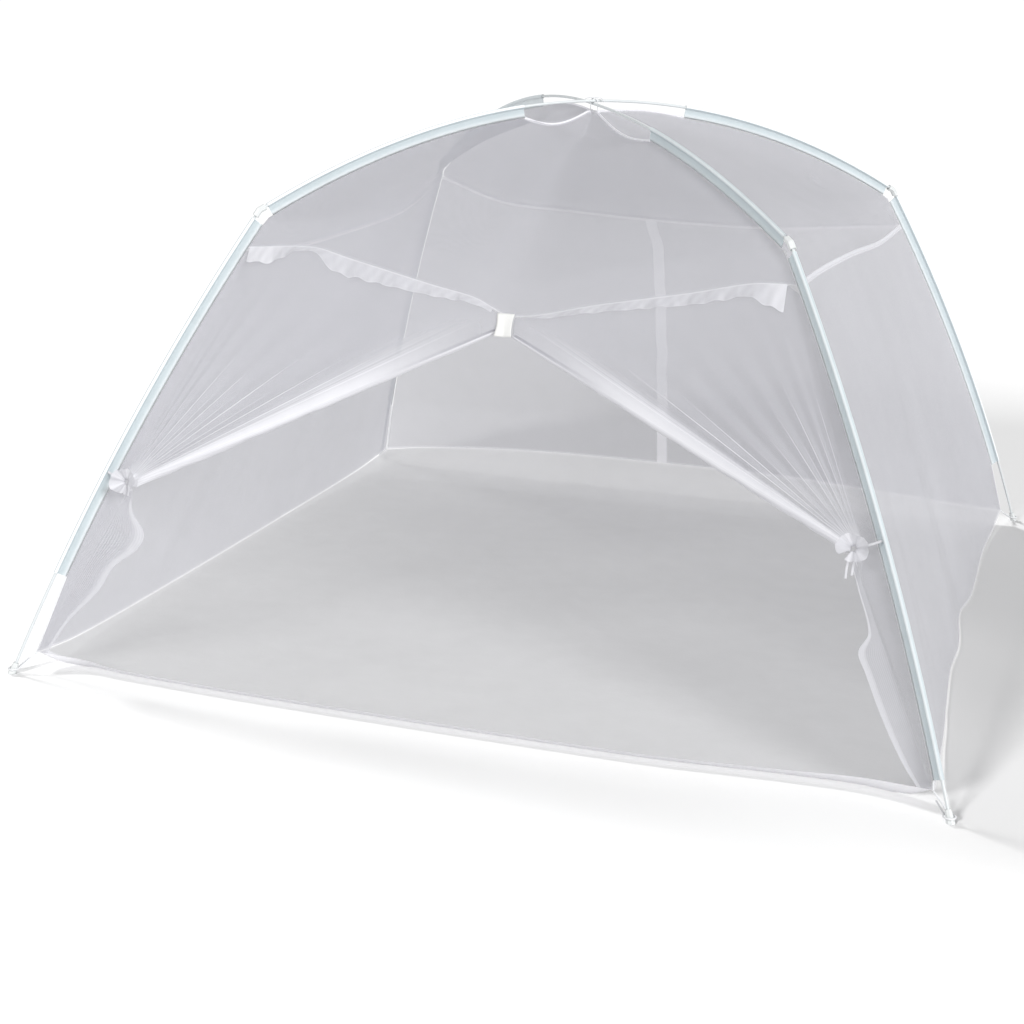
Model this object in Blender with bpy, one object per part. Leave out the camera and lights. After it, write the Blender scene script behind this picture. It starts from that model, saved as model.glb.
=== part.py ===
"""A free-standing mosquito net canopy: net sheets hung in two crossed, arched poles, with the doorway tied open.

Metres. X runs to the right along the doorway side, Y from the doorway to the back, Z up.
The origin is on the ground, under the crossing of the poles.
"""

import math
from typing import NamedTuple

import bmesh
import bpy
from mathutils import Matrix, Vector

# Driving sizes
BASE_HALF = 1.2  # from the middle of the canopy to a foot, along X and along Y
POLE_TOP = 1.44  # middle of the upper one of the two rods, where they cross
GAP = 0.0003  # between pieces that touch
CLOTH = 0.0012  # thickness of the net sheets
TAPE = 0.0012  # thickness of tapes

ROD_RADIUS = 0.004
ROD_SIDES = 8
LOWER_STEPS = 6
UPPER_STEPS = 8

WEB_DEPTH = 0.030  # from the rod's middle to the inner edge of its sleeve
WEB_HALF = 0.0012
POCKET_RADIUS = 0.0047
SLEEVE_RADIUS = 0.0060
ELBOW_NOTCH = 0.026  # bare pole on each side of an elbow

ELBOW_RADIUS = 0.009
ELBOW_HALF_LENGTH = 0.018
ELBOW_SOCKET = 0.012
CAP_LENGTH = 0.030
CAP_SOCKET = 0.020
CAP_FOOT_RADIUS = 0.0105
CAP_NECK_RADIUS = 0.0075

CORNER_X = 1.155  # where the net's corners are held, near the feet
CORNER_Y = 1.150
CORNER_HEIGHT = 0.045
CORD_RADIUS = 0.0021
CROWN_SAG = 0.028  # how much deeper the roof's seams hang where they have no sleeve
CROWN_TAPE = 0.008
HUB_HEIGHT = 1.410  # where the roof's seams meet, under the rods
HUB_REACH = 0.020  # from the middle line to the tips of the roof panels
SEAM_GAP = 0.0008  # from a seam's line to the cloth on each side of it
SEAM_TAPE = 0.012
BAND_WIDTH = 0.036
TAB_WIDTH = 0.046
TAB_HEIGHT = 0.060
TAB_ABOVE = 0.005  # how far the centre tab reaches over the seam
EDGE_DROP = 0.044  # from the seam down to where the doorway's rolled edges start

# Shares of a side's length at which its cloth bends, from the first leg to the second
HALF_WAY = (0, 0.024, 0.055, 0.10, 0.16, 0.235, 0.32, 0.41, 0.50)
ACROSS = HALF_WAY + tuple(1 - share for share in reversed(HALF_WAY[:-1]))
TO_BACK = (0, 0.011, 0.035, 0.08, 0.14, 0.215, 0.30, 0.385, 0.47, 0.56, 0.64, 0.72, 0.80, 0.87, 0.93, 0.97, 1)
TO_FRONT = tuple(1 - share for share in reversed(TO_BACK))
WALL_ROWS = tuple(k / 8 for k in range(9))
ROOF_ROWS = (0, 0.10, 0.22, 0.34, 0.46, 0.58, 0.70, 0.82, 0.92, 1)
KNOT_OUT = Vector((0.0, -0.932, 0.362))  # straight out of the doorway side
KNOT_UP = Vector((0.0, 0.362, 0.932))
RIGHT = Vector((1.0, 0.0, 0.0))
UP = Vector((0.0, 0.0, 1.0))


class Leg(NamedTuple):
    """A quarter of the frame: one pole from its foot to the crossing. Reach is the distance from the middle line."""

    name: str
    x_side: int
    y_side: int
    elbow_reach: float
    elbow_height: float
    bow: float  # of the lower pole, outwards
    crown: float  # of the upper pole, over a plain arch
    drop: float  # of this rod at the crossing, below POLE_TOP
    seam_height: float
    sleeve_foot: float  # height where the lower sleeve ends
    sleeve_crown: float  # reach where the upper sleeve ends


UNDER = 2 * ROD_RADIUS + 2 * GAP
LEGS = (
    Leg("front_left", -1, -1, 0.982, 1.175, 0.034, 0.000, 0.0, 1.080, 0.260, 0.22),
    Leg("front_right", 1, -1, 0.980, 1.163, 0.045, -0.024, UNDER, 1.068, 0.085, 0.32),
    Leg("back_right", 1, 1, 1.065, 1.158, 0.037, 0.000, 0.0, 1.045, 0.225, 0.30),
    Leg("back_left", -1, 1, 1.085, 1.185, 0.045, 0.034, UNDER, 1.140, 0.240, 0.32),
)


class Hang(NamedTuple):
    """How far an edge leaves the straight line between its ends, at a share of its length."""

    share: float
    drop: float
    inward: float


class Side(NamedTuple):
    """One side of the canopy, from one leg anticlockwise to the next, seen from above."""

    name: str
    first: int
    second: int
    outward: Vector
    bends: tuple
    seam: tuple
    hem: tuple


SIDES = (
    Side(
        "front", 0, 1, Vector((0, -1, 0)), ACROSS,
        (
            Hang(0.0, 0.0, 0.0), Hang(0.13, -0.010, 0.0), Hang(0.20, 0.012, 0.0), Hang(0.36, 0.0645, 0.0),
            Hang(0.44, 0.0885, 0.0), Hang(0.51, 0.1275, 0.0), Hang(0.67, 0.082, 0.0), Hang(0.83, 0.0365, 0.0),
            Hang(0.93, 0.0045, 0.0), Hang(1.0, 0.0, 0.0),
        ),
        (
            Hang(0.0, 0.0, 0.0), Hang(0.05, 0.016, 0.030), Hang(0.10, 0.024, 0.020), Hang(0.30, 0.025, 0.006),
            Hang(0.70, 0.025, 0.008), Hang(0.85, 0.022, 0.035), Hang(0.93, 0.014, 0.040), Hang(1.0, 0.0, 0.0),
        ),
    ),
    Side(
        "right", 1, 2, Vector((1, 0, 0)), TO_BACK,
        (
            Hang(0.0, 0.0, 0.0), Hang(0.20, -0.004, 0.006), Hang(0.45, -0.003, 0.0),
            Hang(0.78, 0.018, 0.008), Hang(1.0, 0.0, 0.0),
        ),
        (
            Hang(0.0, 0.0, 0.0), Hang(0.07, 0.030, 0.006), Hang(0.18, 0.040, 0.014), Hang(0.36, 0.041, 0.036),
            Hang(0.46, 0.041, 0.032), Hang(0.56, 0.041, 0.050), Hang(0.64, 0.040, 0.032), Hang(0.84, 0.038, 0.030),
            Hang(0.95, 0.026, 0.012), Hang(1.0, 0.0, 0.0),
        ),
    ),
    Side(
        "back", 2, 3, Vector((0, 1, 0)), ACROSS,
        (
            Hang(0.0, 0.0, 0.0), Hang(0.11, 0.020, 0.0), Hang(0.27, 0.050, 0.004), Hang(0.52, 0.066, 0.0),
            Hang(0.72, 0.066, 0.0), Hang(0.86, 0.060, 0.004), Hang(1.0, 0.0, 0.0),
        ),
        (
            Hang(0.0, 0.0, 0.0), Hang(0.06, -0.004, 0.0), Hang(0.30, -0.042, 0.0), Hang(0.52, -0.052, 0.0),
            Hang(0.76, -0.048, 0.0), Hang(0.93, -0.022, 0.0), Hang(1.0, 0.0, 0.0),
        ),
    ),
    Side(
        "left", 3, 0, Vector((-1, 0, 0)), TO_FRONT,
        (
            Hang(0.0, 0.0, 0.0), Hang(0.12, 0.040, 0.0), Hang(0.28, 0.064, 0.004), Hang(0.55, 0.060, 0.0),
            Hang(0.80, 0.042, 0.006), Hang(0.93, 0.016, 0.0), Hang(1.0, 0.0, 0.0),
        ),
        (
            Hang(0.0, 0.0, 0.0), Hang(0.12, 0.024, -0.010), Hang(0.40, 0.036, -0.018),
            Hang(0.75, 0.036, -0.016), Hang(0.92, 0.024, -0.008), Hang(1.0, 0.0, 0.0),
        ),
    ),
)


class Door(NamedTuple):
    """One half of the doorway cloth, tied to its pole. Share is along the front seam, from the left pole."""

    name: str
    leg: int
    side: int
    knot: Vector
    edge_share: float  # where its free edge starts, under the centre tab
    bends: tuple  # shares of the seam where its pleats end
    roll_start: float  # radius of the rolled edge at the tab
    roll_end: float  # and near the tie
    hem: tuple  # how far the lower hem leaves the straight line from tie to corner: share, towards the middle
    tail: float  # how far the tape's free ends hang


DOORS = (
    Door(
        "left", 0, -1, Vector((-0.940, -0.986, 0.489)), 0.484,
        (
            0.484, 0.455, 0.41, 0.365, 0.32, 0.278, 0.235, 0.198, 0.16, 0.13, 0.10, 0.077, 0.055, 0.04, 0.024, 0.012,
        ),
        0.008, 0.017,
        (
            (0.0, 0.0), (0.12, 0.030), (0.24, 0.095), (0.33, 0.100), (0.45, 0.060), (0.60, 0.052), (0.80, 0.012),
            (1.0, 0.0),
        ),
        0.020,
    ),
    Door(
        "right", 1, 1, Vector((0.926, -0.974, 0.522)), 0.514,
        (0.514, 0.545, 0.59, 0.635, 0.68, 0.722, 0.765, 0.802, 0.84, 0.87, 0.90, 0.922, 0.945, 0.96, 0.976, 0.988),
        0.008, 0.019,
        (
            (0.0, 0.0), (0.15, 0.002), (0.34, 0.008), (0.43, 0.044), (0.52, 0.042), (0.72, 0.034), (0.90, 0.018),
            (1.0, 0.0),
        ),
        0.050,
    ),
)

NET_COLOUR = (0.56, 0.56, 0.60, 1.0)
HEM_COLOUR = (0.86, 0.86, 0.89, 1.0)
SLEEVE_COLOUR = (0.66, 0.72, 0.75, 1.0)
POLE_COLOUR = (0.86, 0.88, 0.88, 1.0)
PLASTIC_COLOUR = (0.78, 0.80, 0.80, 1.0)


def clear_scene():
    """Removes whatever the file opened with."""
    for old in list(bpy.data.objects):
        bpy.data.objects.remove(old, do_unlink=True)


def material(name, colour, roughness):
    """A Principled material."""
    made = bpy.data.materials.new(name)
    made.use_nodes = True
    shader = made.node_tree.nodes["Principled BSDF"]
    shader.inputs["Base Color"].default_value = colour
    shader.inputs["Roughness"].default_value = roughness
    shader.inputs["Metallic"].default_value = 0.0
    return made


def finish(name, bm, dressed, smooth=True):
    """Puts a bmesh into the scene as an object with outward faces."""
    bmesh.ops.remove_doubles(bm, verts=bm.verts, dist=1e-6)
    bmesh.ops.recalc_face_normals(bm, faces=bm.faces)
    mesh = bpy.data.meshes.new(name)
    bm.to_mesh(mesh)
    bm.free()
    if smooth:
        mesh.shade_smooth()
        mesh.set_sharp_from_angle(angle=math.radians(40))
    obj = bpy.data.objects.new(name, mesh)
    obj.data.materials.append(dressed)
    bpy.context.collection.objects.link(obj)
    return obj


# Curves


def smooth_value(rows, share, column):
    """A column of a table read between its rows, on a smooth curve. The first column is the share."""
    last = len(rows) - 1
    k = min(max(sum(row[0] <= share for row in rows) - 1, 0), last - 1)
    here, there = rows[k], rows[k + 1]
    before, after = rows[max(k - 1, 0)], rows[min(k + 2, last)]
    span = there[0] - here[0]
    slope_here = (there[column] - before[column]) / (there[0] - before[0])
    slope_there = (after[column] - here[column]) / (after[0] - here[0])
    t = (share - here[0]) / span
    return (
        (2 * t**3 - 3 * t**2 + 1) * here[column]
        + (t**3 - 2 * t**2 + t) * span * slope_here
        + (3 * t**2 - 2 * t**3) * there[column]
        + (t**3 - t**2) * span * slope_there
    )


def lengths(points):
    """How far along a line of points each point is."""
    far = [0.0]
    for a, b in zip(points, points[1:]):
        far.append(far[-1] + (b - a).length)
    return far


def at_length(points, distance):
    """The point that far along a line of points."""
    for a, b in zip(points, points[1:]):
        step = (b - a).length
        if distance <= step:
            return a.lerp(b, distance / step)
        distance -= step
    return points[-1].copy()


def along(points, share):
    """The point at a share of a line's length."""
    return at_length(points, share * lengths(points)[-1])


def cut(points, start, end):
    """The stretch of a line between two distances along it."""
    far = lengths(points)
    inner = [p for p, d in zip(points, far) if start + 1e-5 < d < end - 1e-5]
    return [at_length(points, start), *inner, at_length(points, end)]


def where(points, reached):
    """How far along a line the test first holds, found by halving."""
    far = lengths(points)
    k = next(i for i, p in enumerate(points) if reached(p))
    if k == 0:
        return 0.0
    low, high = far[k - 1], far[k]
    for _ in range(30):
        middle = (low + high) / 2
        if reached(at_length(points, middle)):
            high = middle
        else:
            low = middle
    return high


def reach_of(point):
    """Distance from the middle line of the canopy."""
    return math.hypot(point.x, point.y)


# The frame of poles


def outward_of(leg):
    """Level, from the middle line to the foot."""
    return Vector((leg.x_side, leg.y_side, 0)).normalized()


def across_of(leg):
    """Level, square to the arch: towards the side that starts at this leg."""
    return UP.cross(outward_of(leg))


def lower_points(leg):
    """The lower pole's middle line, from the ground to the elbow."""
    foot = outward_of(leg) * BASE_HALF * math.sqrt(2)
    elbow = outward_of(leg) * leg.elbow_reach + UP * leg.elbow_height
    chord = elbow - foot
    out = chord.cross(across_of(leg)).normalized()
    if out.dot(outward_of(leg)) < 0:
        out.negate()
    shares = [k / LOWER_STEPS for k in range(LOWER_STEPS + 1)]
    return [foot + chord * t + out * leg.bow * 4 * t * (1 - t) for t in shares]


def upper_points(leg):
    """The upper pole's middle line, from the elbow to the crossing."""
    top = POLE_TOP - leg.drop
    points = []
    for k in range(UPPER_STEPS + 1):
        t = k / UPPER_STEPS
        height = top - (top - leg.elbow_height) * (1 - t) ** 2 + leg.crown * 4 * t * (1 - t)
        points.append(outward_of(leg) * leg.elbow_reach * (1 - t) + UP * height)
    return points


def leg_points(leg):
    """The whole arch, from the ground to the crossing."""
    return lower_points(leg) + upper_points(leg)[1:]


def frames(points, across):
    """A frame for each point of an arch. Its Z runs along the line, its X to the inside of the canopy."""
    made = []
    for k, point in enumerate(points):
        before = points[max(k - 1, 0)]
        after = points[min(k + 1, len(points) - 1)]
        back = (point - before).normalized() if k else (after - point).normalized()
        ahead = (after - point).normalized() if k < len(points) - 1 else back
        tangent = (back + ahead).normalized()
        level = (across - tangent * across.dot(tangent)).normalized()
        inner = tangent.cross(level)
        turn = Matrix((inner, -level, tangent)).transposed().to_4x4()
        made.append(Matrix.Translation(point) @ turn)
    return made


def push(bm, faces, places, widths=None, attached=False):
    """Extrudes a section from the first place through the others; widths scale it on the way, in X and Y."""
    widths = widths or [(1.0, 1.0)] * len(places)
    for k in range(1, len(places)):
        made = bmesh.ops.extrude_face_region(bm, geom=faces)["geom"]
        if k > 1 or attached:
            bmesh.ops.delete(bm, geom=faces, context="FACES")
        moved = [part for part in made if isinstance(part, bmesh.types.BMVert)]
        scale = [now / was for now, was in zip(widths[k], widths[k - 1])]
        step = places[k] @ Matrix.Diagonal((*scale, 1, 1)) @ places[k - 1].inverted()
        bmesh.ops.transform(bm, matrix=step, verts=moved)
        faces = [part for part in made if isinstance(part, bmesh.types.BMFace)]
    return faces


def round_bar(places, radius, sides=ROD_SIDES, widths=None):
    """A bar of round section through the places, and its end face."""
    bm = bmesh.new()
    half_step = Matrix.Rotation(math.pi / sides, 4, "Z")
    bmesh.ops.create_circle(
        bm, cap_ends=True, radius=radius, segments=sides, matrix=places[0] @ half_step
    )
    return bm, push(bm, list(bm.faces), places, widths)


def flat_bar(places, width, thickness, widths=None):
    """A tape through the places: width across the line, in the frames' X, thickness in their Y."""
    bm = bmesh.new()
    size = Matrix.Diagonal((width, thickness, 1, 1))
    bmesh.ops.create_grid(bm, x_segments=1, y_segments=1, size=0.5, matrix=places[0] @ size)
    push(bm, list(bm.faces), places, widths)
    return bm


def drill(bm, face, radius, outer, depth):
    """Sinks a blind socket into an end face."""
    inward = -face.normal.copy()
    bmesh.ops.inset_region(bm, faces=[face], thickness=(outer - radius) * math.cos(math.pi / ROD_SIDES))
    made = bmesh.ops.extrude_discrete_faces(bm, faces=[face])["faces"]
    bmesh.ops.translate(bm, verts=made[0].verts, vec=inward * depth)


def sleeve_faces(bm, place):
    """The sleeve's section: a ring round the rod, and a web towards the inside of the canopy."""
    turns = [math.tau * (k + 0.5) / ROD_SIDES for k in range(ROD_SIDES)]

    def corner(x, y):
        return bm.verts.new(place @ Vector((x, y, 0)))

    outer = [corner(SLEEVE_RADIUS * math.cos(t), SLEEVE_RADIUS * math.sin(t)) for t in turns]
    inner = [corner(POCKET_RADIUS * math.cos(t), POCKET_RADIUS * math.sin(t)) for t in turns]
    tips = [corner(WEB_DEPTH, WEB_HALF), corner(WEB_DEPTH, -WEB_HALF)]
    faces = []
    for k in range(ROD_SIDES):
        n = (k + 1) % ROD_SIDES
        faces.append(bm.faces.new((outer[k], outer[n], inner[n], inner[k])))
    faces.append(bm.faces.new((outer[0], tips[0], tips[1], outer[-1])))
    return faces


def sleeve(name, points, across, dressed):
    """A fabric sleeve along a stretch of pole, open at both ends."""
    places = frames(points, across)
    bm = bmesh.new()
    push(bm, sleeve_faces(bm, places[0]), places)
    return finish(name, bm, dressed)


def build_poles(pole, plastic):
    """Rods, elbow connectors and foot caps."""
    for name, first, second in (("a", LEGS[0], LEGS[2]), ("b", LEGS[1], LEGS[3])):
        start = upper_points(first)
        end = list(reversed(upper_points(second)))
        line = start + end[1:]
        in_socket = ELBOW_HALF_LENGTH - ELBOW_SOCKET + GAP
        line = cut(line, in_socket, lengths(line)[-1] - in_socket)
        bm, _ = round_bar(frames(line, across_of(first)), ROD_RADIUS)
        finish(f"pole_upper_{name}", bm, pole)
    for leg in LEGS:
        line = lower_points(leg)
        far = lengths(line)[-1]
        start = CAP_LENGTH - CAP_SOCKET + GAP
        stretch = cut(line, start, far - (ELBOW_HALF_LENGTH - ELBOW_SOCKET) - GAP)
        bm, _ = round_bar(frames(stretch, across_of(leg)), ROD_RADIUS)
        finish(f"pole_lower_{leg.name}", bm, pole)
        build_elbow(leg, plastic)
        build_cap(leg, plastic)


def build_elbow(leg, plastic):
    """The connector at a kink, with a socket at each end."""
    whole = leg_points(leg)
    kink = lengths(lower_points(leg))[-1]
    line = cut(whole, kink - ELBOW_HALF_LENGTH, kink + ELBOW_HALF_LENGTH)
    socket = (ROD_RADIUS + GAP) / math.cos(math.pi / ROD_SIDES)
    bm, _ = round_bar(frames(line, across_of(leg)), ELBOW_RADIUS)
    bmesh.ops.recalc_face_normals(bm, faces=bm.faces)
    caps = [face for face in bm.faces if len(face.verts) == ROD_SIDES]
    for face in caps:
        drill(bm, face, socket, ELBOW_RADIUS, ELBOW_SOCKET)
    finish(f"elbow_{leg.name}", bm, plastic)


def build_cap(leg, plastic):
    """The foot cap: it widens downwards, is flat on the ground and has a socket for the rod."""
    line = lower_points(leg)
    rise = (line[1] - line[0]).normalized()
    points = [line[0] - rise * 0.015, line[0], line[0] + rise * CAP_LENGTH]
    places = frames(points, across_of(leg))
    spread = CAP_FOOT_RADIUS / CAP_NECK_RADIUS
    bm, _ = round_bar(places, CAP_FOOT_RADIUS, widths=[(1, 1), (1, 1), (1 / spread, 1 / spread)])
    bmesh.ops.recalc_face_normals(bm, faces=bm.faces)
    ends = [face for face in bm.faces if len(face.verts) == ROD_SIDES]
    neck = max(ends, key=lambda face: face.calc_center_median().z)
    drill(bm, neck, (ROD_RADIUS + GAP) / math.cos(math.pi / ROD_SIDES), CAP_NECK_RADIUS, CAP_SOCKET)
    every = list(bm.verts) + list(bm.edges) + list(bm.faces)
    split = bmesh.ops.bisect_plane(bm, geom=every, plane_co=(0, 0, 0), plane_no=(0, 0, -1), clear_outer=True)
    rim = [part for part in split["geom_cut"] if isinstance(part, bmesh.types.BMEdge)]
    bmesh.ops.edgeloop_fill(bm, edges=rim)
    finish(f"foot_cap_{leg.name}", bm, plastic)


def build_sleeves(fabric):
    """An upper and a lower sleeve on each arch, with a notch at the elbow."""
    for leg in LEGS:
        whole = leg_points(leg)
        kink = lengths(lower_points(leg))[-1]
        foot = where(whole, lambda p, low=leg.sleeve_foot: p.z >= low)
        crown = where(whole, lambda p, near=leg.sleeve_crown: reach_of(p) <= near)
        lower = cut(whole, foot, kink - ELBOW_NOTCH)
        upper = cut(whole, kink + ELBOW_NOTCH, crown)
        sleeve(f"sleeve_lower_{leg.name}", lower, across_of(leg), fabric)
        sleeve(f"sleeve_upper_{leg.name}", upper, across_of(leg), fabric)


# The net's edges


def corner_of(leg):
    """Where the net is held near a foot."""
    return Vector((leg.x_side * CORNER_X, leg.y_side * CORNER_Y, CORNER_HEIGHT))


def inner_line(leg):
    """The line under a pole that the net hangs from, from the net's corner to the crossing."""
    whole = leg_points(leg)
    foot = where(whole, lambda p: p.z >= leg.sleeve_foot)
    crown = where(whole, lambda p: reach_of(p) <= leg.sleeve_crown)
    stretch = cut(whole, foot, crown)
    tips = [place @ Vector((WEB_DEPTH, 0, 0)) for place in frames(stretch, across_of(leg))]
    start = corner_of(leg)
    line = [start, start.lerp(tips[0], 0.35), start.lerp(tips[0], 0.7)] + tips
    steps = 5
    for k in range(1, steps + 1):
        share = 1 - k / steps
        reach = HUB_REACH + (leg.sleeve_crown - HUB_REACH) * share
        over = at_length(whole, where(whole, lambda p, r=reach: reach_of(p) <= r))
        at_hub = POLE_TOP - leg.drop - HUB_HEIGHT
        depth = at_hub * (1 - share) + WEB_DEPTH * share + CROWN_SAG * math.sin(math.pi * share)
        line.append(over - UP * depth)
    return line


def split_at_seam(leg):
    """The inner line below the seam and above it."""
    line = inner_line(leg)
    at = where(line, lambda p: p.z >= leg.seam_height)
    return cut(line, 0.0, at), cut(line, at, lengths(line)[-1])


def beside(points, leg, side, half):
    """A line moved off the arch's plane, to the side, past something of that half thickness."""
    off = half + GAP + CLOTH * 0.4 + 0.0002
    return [p + across_of(leg) * side * off for p in points]


def edge_lines(side):
    """The four lines that carry a side's cloth: below and above the seam, at its first leg and at its second."""
    made = []
    for leg, way in ((LEGS[side.first], 1), (LEGS[side.second], -1)):
        below, above = split_at_seam(leg)
        made.append((beside(below, leg, way, CORD_RADIUS), beside(above, leg, way, WEB_HALF)))
    (low_first, high_first), (low_second, high_second) = made
    # Above the cord the lower lines step in to the web.
    low_first = step_in(low_first, LEGS[side.first], 1)
    low_second = step_in(low_second, LEGS[side.second], -1)
    return low_first, high_first, low_second, high_second


def step_in(points, leg, way):
    """Below the sleeve the line clears the cord, and along the sleeve it lies against the thinner web."""
    nearer = across_of(leg) * way * (CORD_RADIUS - WEB_HALF)
    return [p - nearer if p.z > leg.sleeve_foot + 0.03 else p for p in points]


def hung(start, end, rows, outward):
    """An edge that hangs between two points, as a function of the share along it."""

    def point(share):
        drop = smooth_value(rows, share, 1)
        inward = smooth_value(rows, share, 2)
        return start.lerp(end, share) - UP * drop - outward * inward

    return point


def patch(bottom, top, first, second):
    """A sheet stretched between four edges, each a function of the share along it."""

    def point(u, v):
        straight = bottom(u) * (1 - v) + top(u) * v + first(v) * (1 - u) + second(v) * u
        corners = (
            bottom(0) * (1 - u) * (1 - v) + bottom(1) * u * (1 - v)
            + top(0) * (1 - u) * v + top(1) * u * v
        )
        return straight - corners

    return point


def sheet(name, place, columns, rows, dressed, thickness=CLOTH):
    """A cloth sheet: a grid laid on place(u, v) at the given shares, and thickened on both sides."""
    bm = bmesh.new()
    wide, high = len(columns) - 1, len(rows) - 1
    bmesh.ops.create_grid(bm, x_segments=wide, y_segments=high, size=0.5)
    for vert in bm.verts:
        column = round((vert.co.x + 0.5) * wide)
        row = round((vert.co.y + 0.5) * high)
        vert.co = place(columns[column], rows[row])
    mesh = bpy.data.meshes.new(name)
    bm.to_mesh(mesh)
    bm.free()
    mesh.shade_smooth()
    obj = bpy.data.objects.new(name, mesh)
    obj.data.materials.append(dressed)
    bpy.context.collection.objects.link(obj)
    thick = obj.modifiers.new("Thickness", "SOLIDIFY")
    thick.thickness = thickness
    thick.offset = 0.0
    return obj


def even(count):
    """Equal shares from 0 to 1."""
    return tuple(k / count for k in range(count + 1))


def faceted(curve, shares):
    """A curve read as straight stretches between the given shares, as the cloth's own edge runs."""
    corners = [curve(share) for share in shares]

    def point(share):
        k = min(max(sum(s <= share for s in shares) - 1, 0), len(shares) - 2)
        return corners[k].lerp(corners[k + 1], (share - shares[k]) / (shares[k + 1] - shares[k]))

    return point


def seam_of(side):
    """The seam at elbow height, as a function of the share along it."""
    low_first, _, low_second, _ = edge_lines(side)
    return faceted(hung(low_first[-1], low_second[-1], side.seam, side.outward), side.bends)


def hem_of(side):
    """The hem at the ground."""
    low_first, _, low_second, _ = edge_lines(side)
    return faceted(hung(low_first[0], low_second[0], side.hem, side.outward), side.bends)


def wall_place(side):
    """The cloth below the seam. It bellies in a little."""
    low_first, _, low_second, _ = edge_lines(side)
    stretched = patch(
        hem_of(side), seam_of(side), lambda v: along(low_first, v), lambda v: along(low_second, v)
    )

    def point(u, v):
        belly = 0.018 * math.sin(math.pi * u) * math.sin(math.pi * v)
        return stretched(u, v) - side.outward * belly

    return point


def roof_place(side):
    """The cloth above the seam, up to the crossing."""
    _, high_first, _, high_second = edge_lines(side)
    stretched = patch(
        seam_of(side),
        lambda u: high_first[-1].lerp(high_second[-1], u),
        lambda v: along(high_first, v),
        lambda v: along(high_second, v),
    )

    def point(u, v):
        belly = 0.022 * math.sin(math.pi * u) * math.sin(math.pi * v)
        return stretched(u, v) - (side.outward * 0.5 + UP * 0.85) * belly

    return point


def normal_at(place, u, v, outward):
    """The sheet's normal, on the outer side."""
    step = 0.01
    across = place(min(u + step, 1.0), v) - place(max(u - step, 0.0), v)
    upward = place(u, min(v + step, 1.0)) - place(u, max(v - step, 0.0))
    normal = across.cross(upward).normalized()
    return normal if normal.dot(outward + UP * 0.3) > 0 else -normal


def build_panels(net):
    """The four roof panels and the three walls."""
    for side in SIDES:
        roof = roof_place(side)
        clear = SEAM_GAP / (roof(0.5, 1) - roof(0.5, 0)).length
        rows = (clear, *ROOF_ROWS[1:])
        sheet(f"roof_{side.name}", roof, side.bends, rows, net)
        if side.name == "front":
            continue
        wall = wall_place(side)
        clear = SEAM_GAP / (wall(0.5, 1) - wall(0.5, 0)).length
        rows = (*WALL_ROWS[:-1], 1 - clear)
        sheet(f"wall_{side.name}", wall, side.bends, rows, net)


def build_floor(net):
    """The net floor: flat on the ground, and drawn up to the hems at its edges."""
    inset = 0.0016
    corners = [corner_of(leg) - outward_of(leg) * 0.008 for leg in LEGS]
    rims = []
    for side in SIDES:
        hem = hem_of(side)
        start, end = corners[side.first], corners[side.second]

        def rim(u, hem=hem, start=start, end=end, out=side.outward):
            to_start = (start - hem(0) + out * inset) * (1 - u) ** 12
            to_end = (end - hem(1) + out * inset) * u ** 12
            return hem(u) - out * inset + to_start + to_end

        rims.append(rim)
    front, right, back, left = rims
    level = patch(front, lambda u: back(1 - u), lambda v: left(1 - v), right)
    rest = CLOTH / 2
    reaches = (0.030, 0.10, 0.26, 0.10)  # how far in from each hem the cloth is lifted: front, right, back, left

    def place(u, v):
        point = level(u, v)
        hems = (front(u), right(v), back(1 - u), left(1 - v))
        far = (v, 1 - u, 1 - v, u)
        lift = 0.0
        for hem, share, reach in zip(hems, far, reaches):
            away = max(1 - share * 2 * CORNER_X / reach, 0.0)
            lift = max(lift, (hem.z - rest) * away**1.6)
        return Vector((point.x, point.y, rest + lift))

    sheet("floor", place, ACROSS, TO_BACK, net)


# Tapes and cords


def ribbon_frames(points, normals):
    """Frames for a tape: Z along it, Y through its thickness, X across its width."""
    made = []
    for k, (point, normal) in enumerate(zip(points, normals)):
        tangent = (points[min(k + 1, len(points) - 1)] - points[max(k - 1, 0)]).normalized()
        face = (normal - tangent * normal.dot(tangent)).normalized()
        turn = Matrix((face.cross(tangent), face, tangent)).transposed().to_4x4()
        made.append(Matrix.Translation(point) @ turn)
    return made


def tape(name, points, normals, width, thickness, dressed):
    """A flat tape along a line."""
    return finish(name, flat_bar(ribbon_frames(points, normals), width, thickness), dressed, smooth=False)


def build_seam_tapes(hem):
    """White tapes over the seams at elbow height, and down the middle of the back."""
    for side in SIDES[1:]:
        seam, wall, roof = seam_of(side), wall_place(side), roof_place(side)
        shares = (0.008, *side.bends[1:-1], 0.992)
        normals = [
            (normal_at(wall, u, 1.0, side.outward) + normal_at(roof, u, 0.0, side.outward)).normalized()
            for u in shares
        ]
        points = [seam(share) + normal * 0.0017 for share, normal in zip(shares, normals)]
        tape(f"seam_tape_{side.name}", points, normals, SEAM_TAPE, TAPE, hem)
    back = SIDES[2]
    wall = wall_place(back)
    drift = ((0.0, -0.054), (0.45, -0.026), (0.88, -0.018), (1.0, -0.036))  # of its middle, in X, by height

    def place(u, v):
        v = 0.004 + v * 0.984
        wide = 2 * CORNER_X * (1 - v) + 1.52 * v
        middle = smooth_value(drift, v, 1)
        share = 0.5 - (middle + (0.5 - u) * BAND_WIDTH) / wide
        return wall(share, v) + Vector((0, 0.932, 0.362)) * 0.0022

    sheet("back_band", place, even(2), even(8), hem, TAPE)


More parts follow.
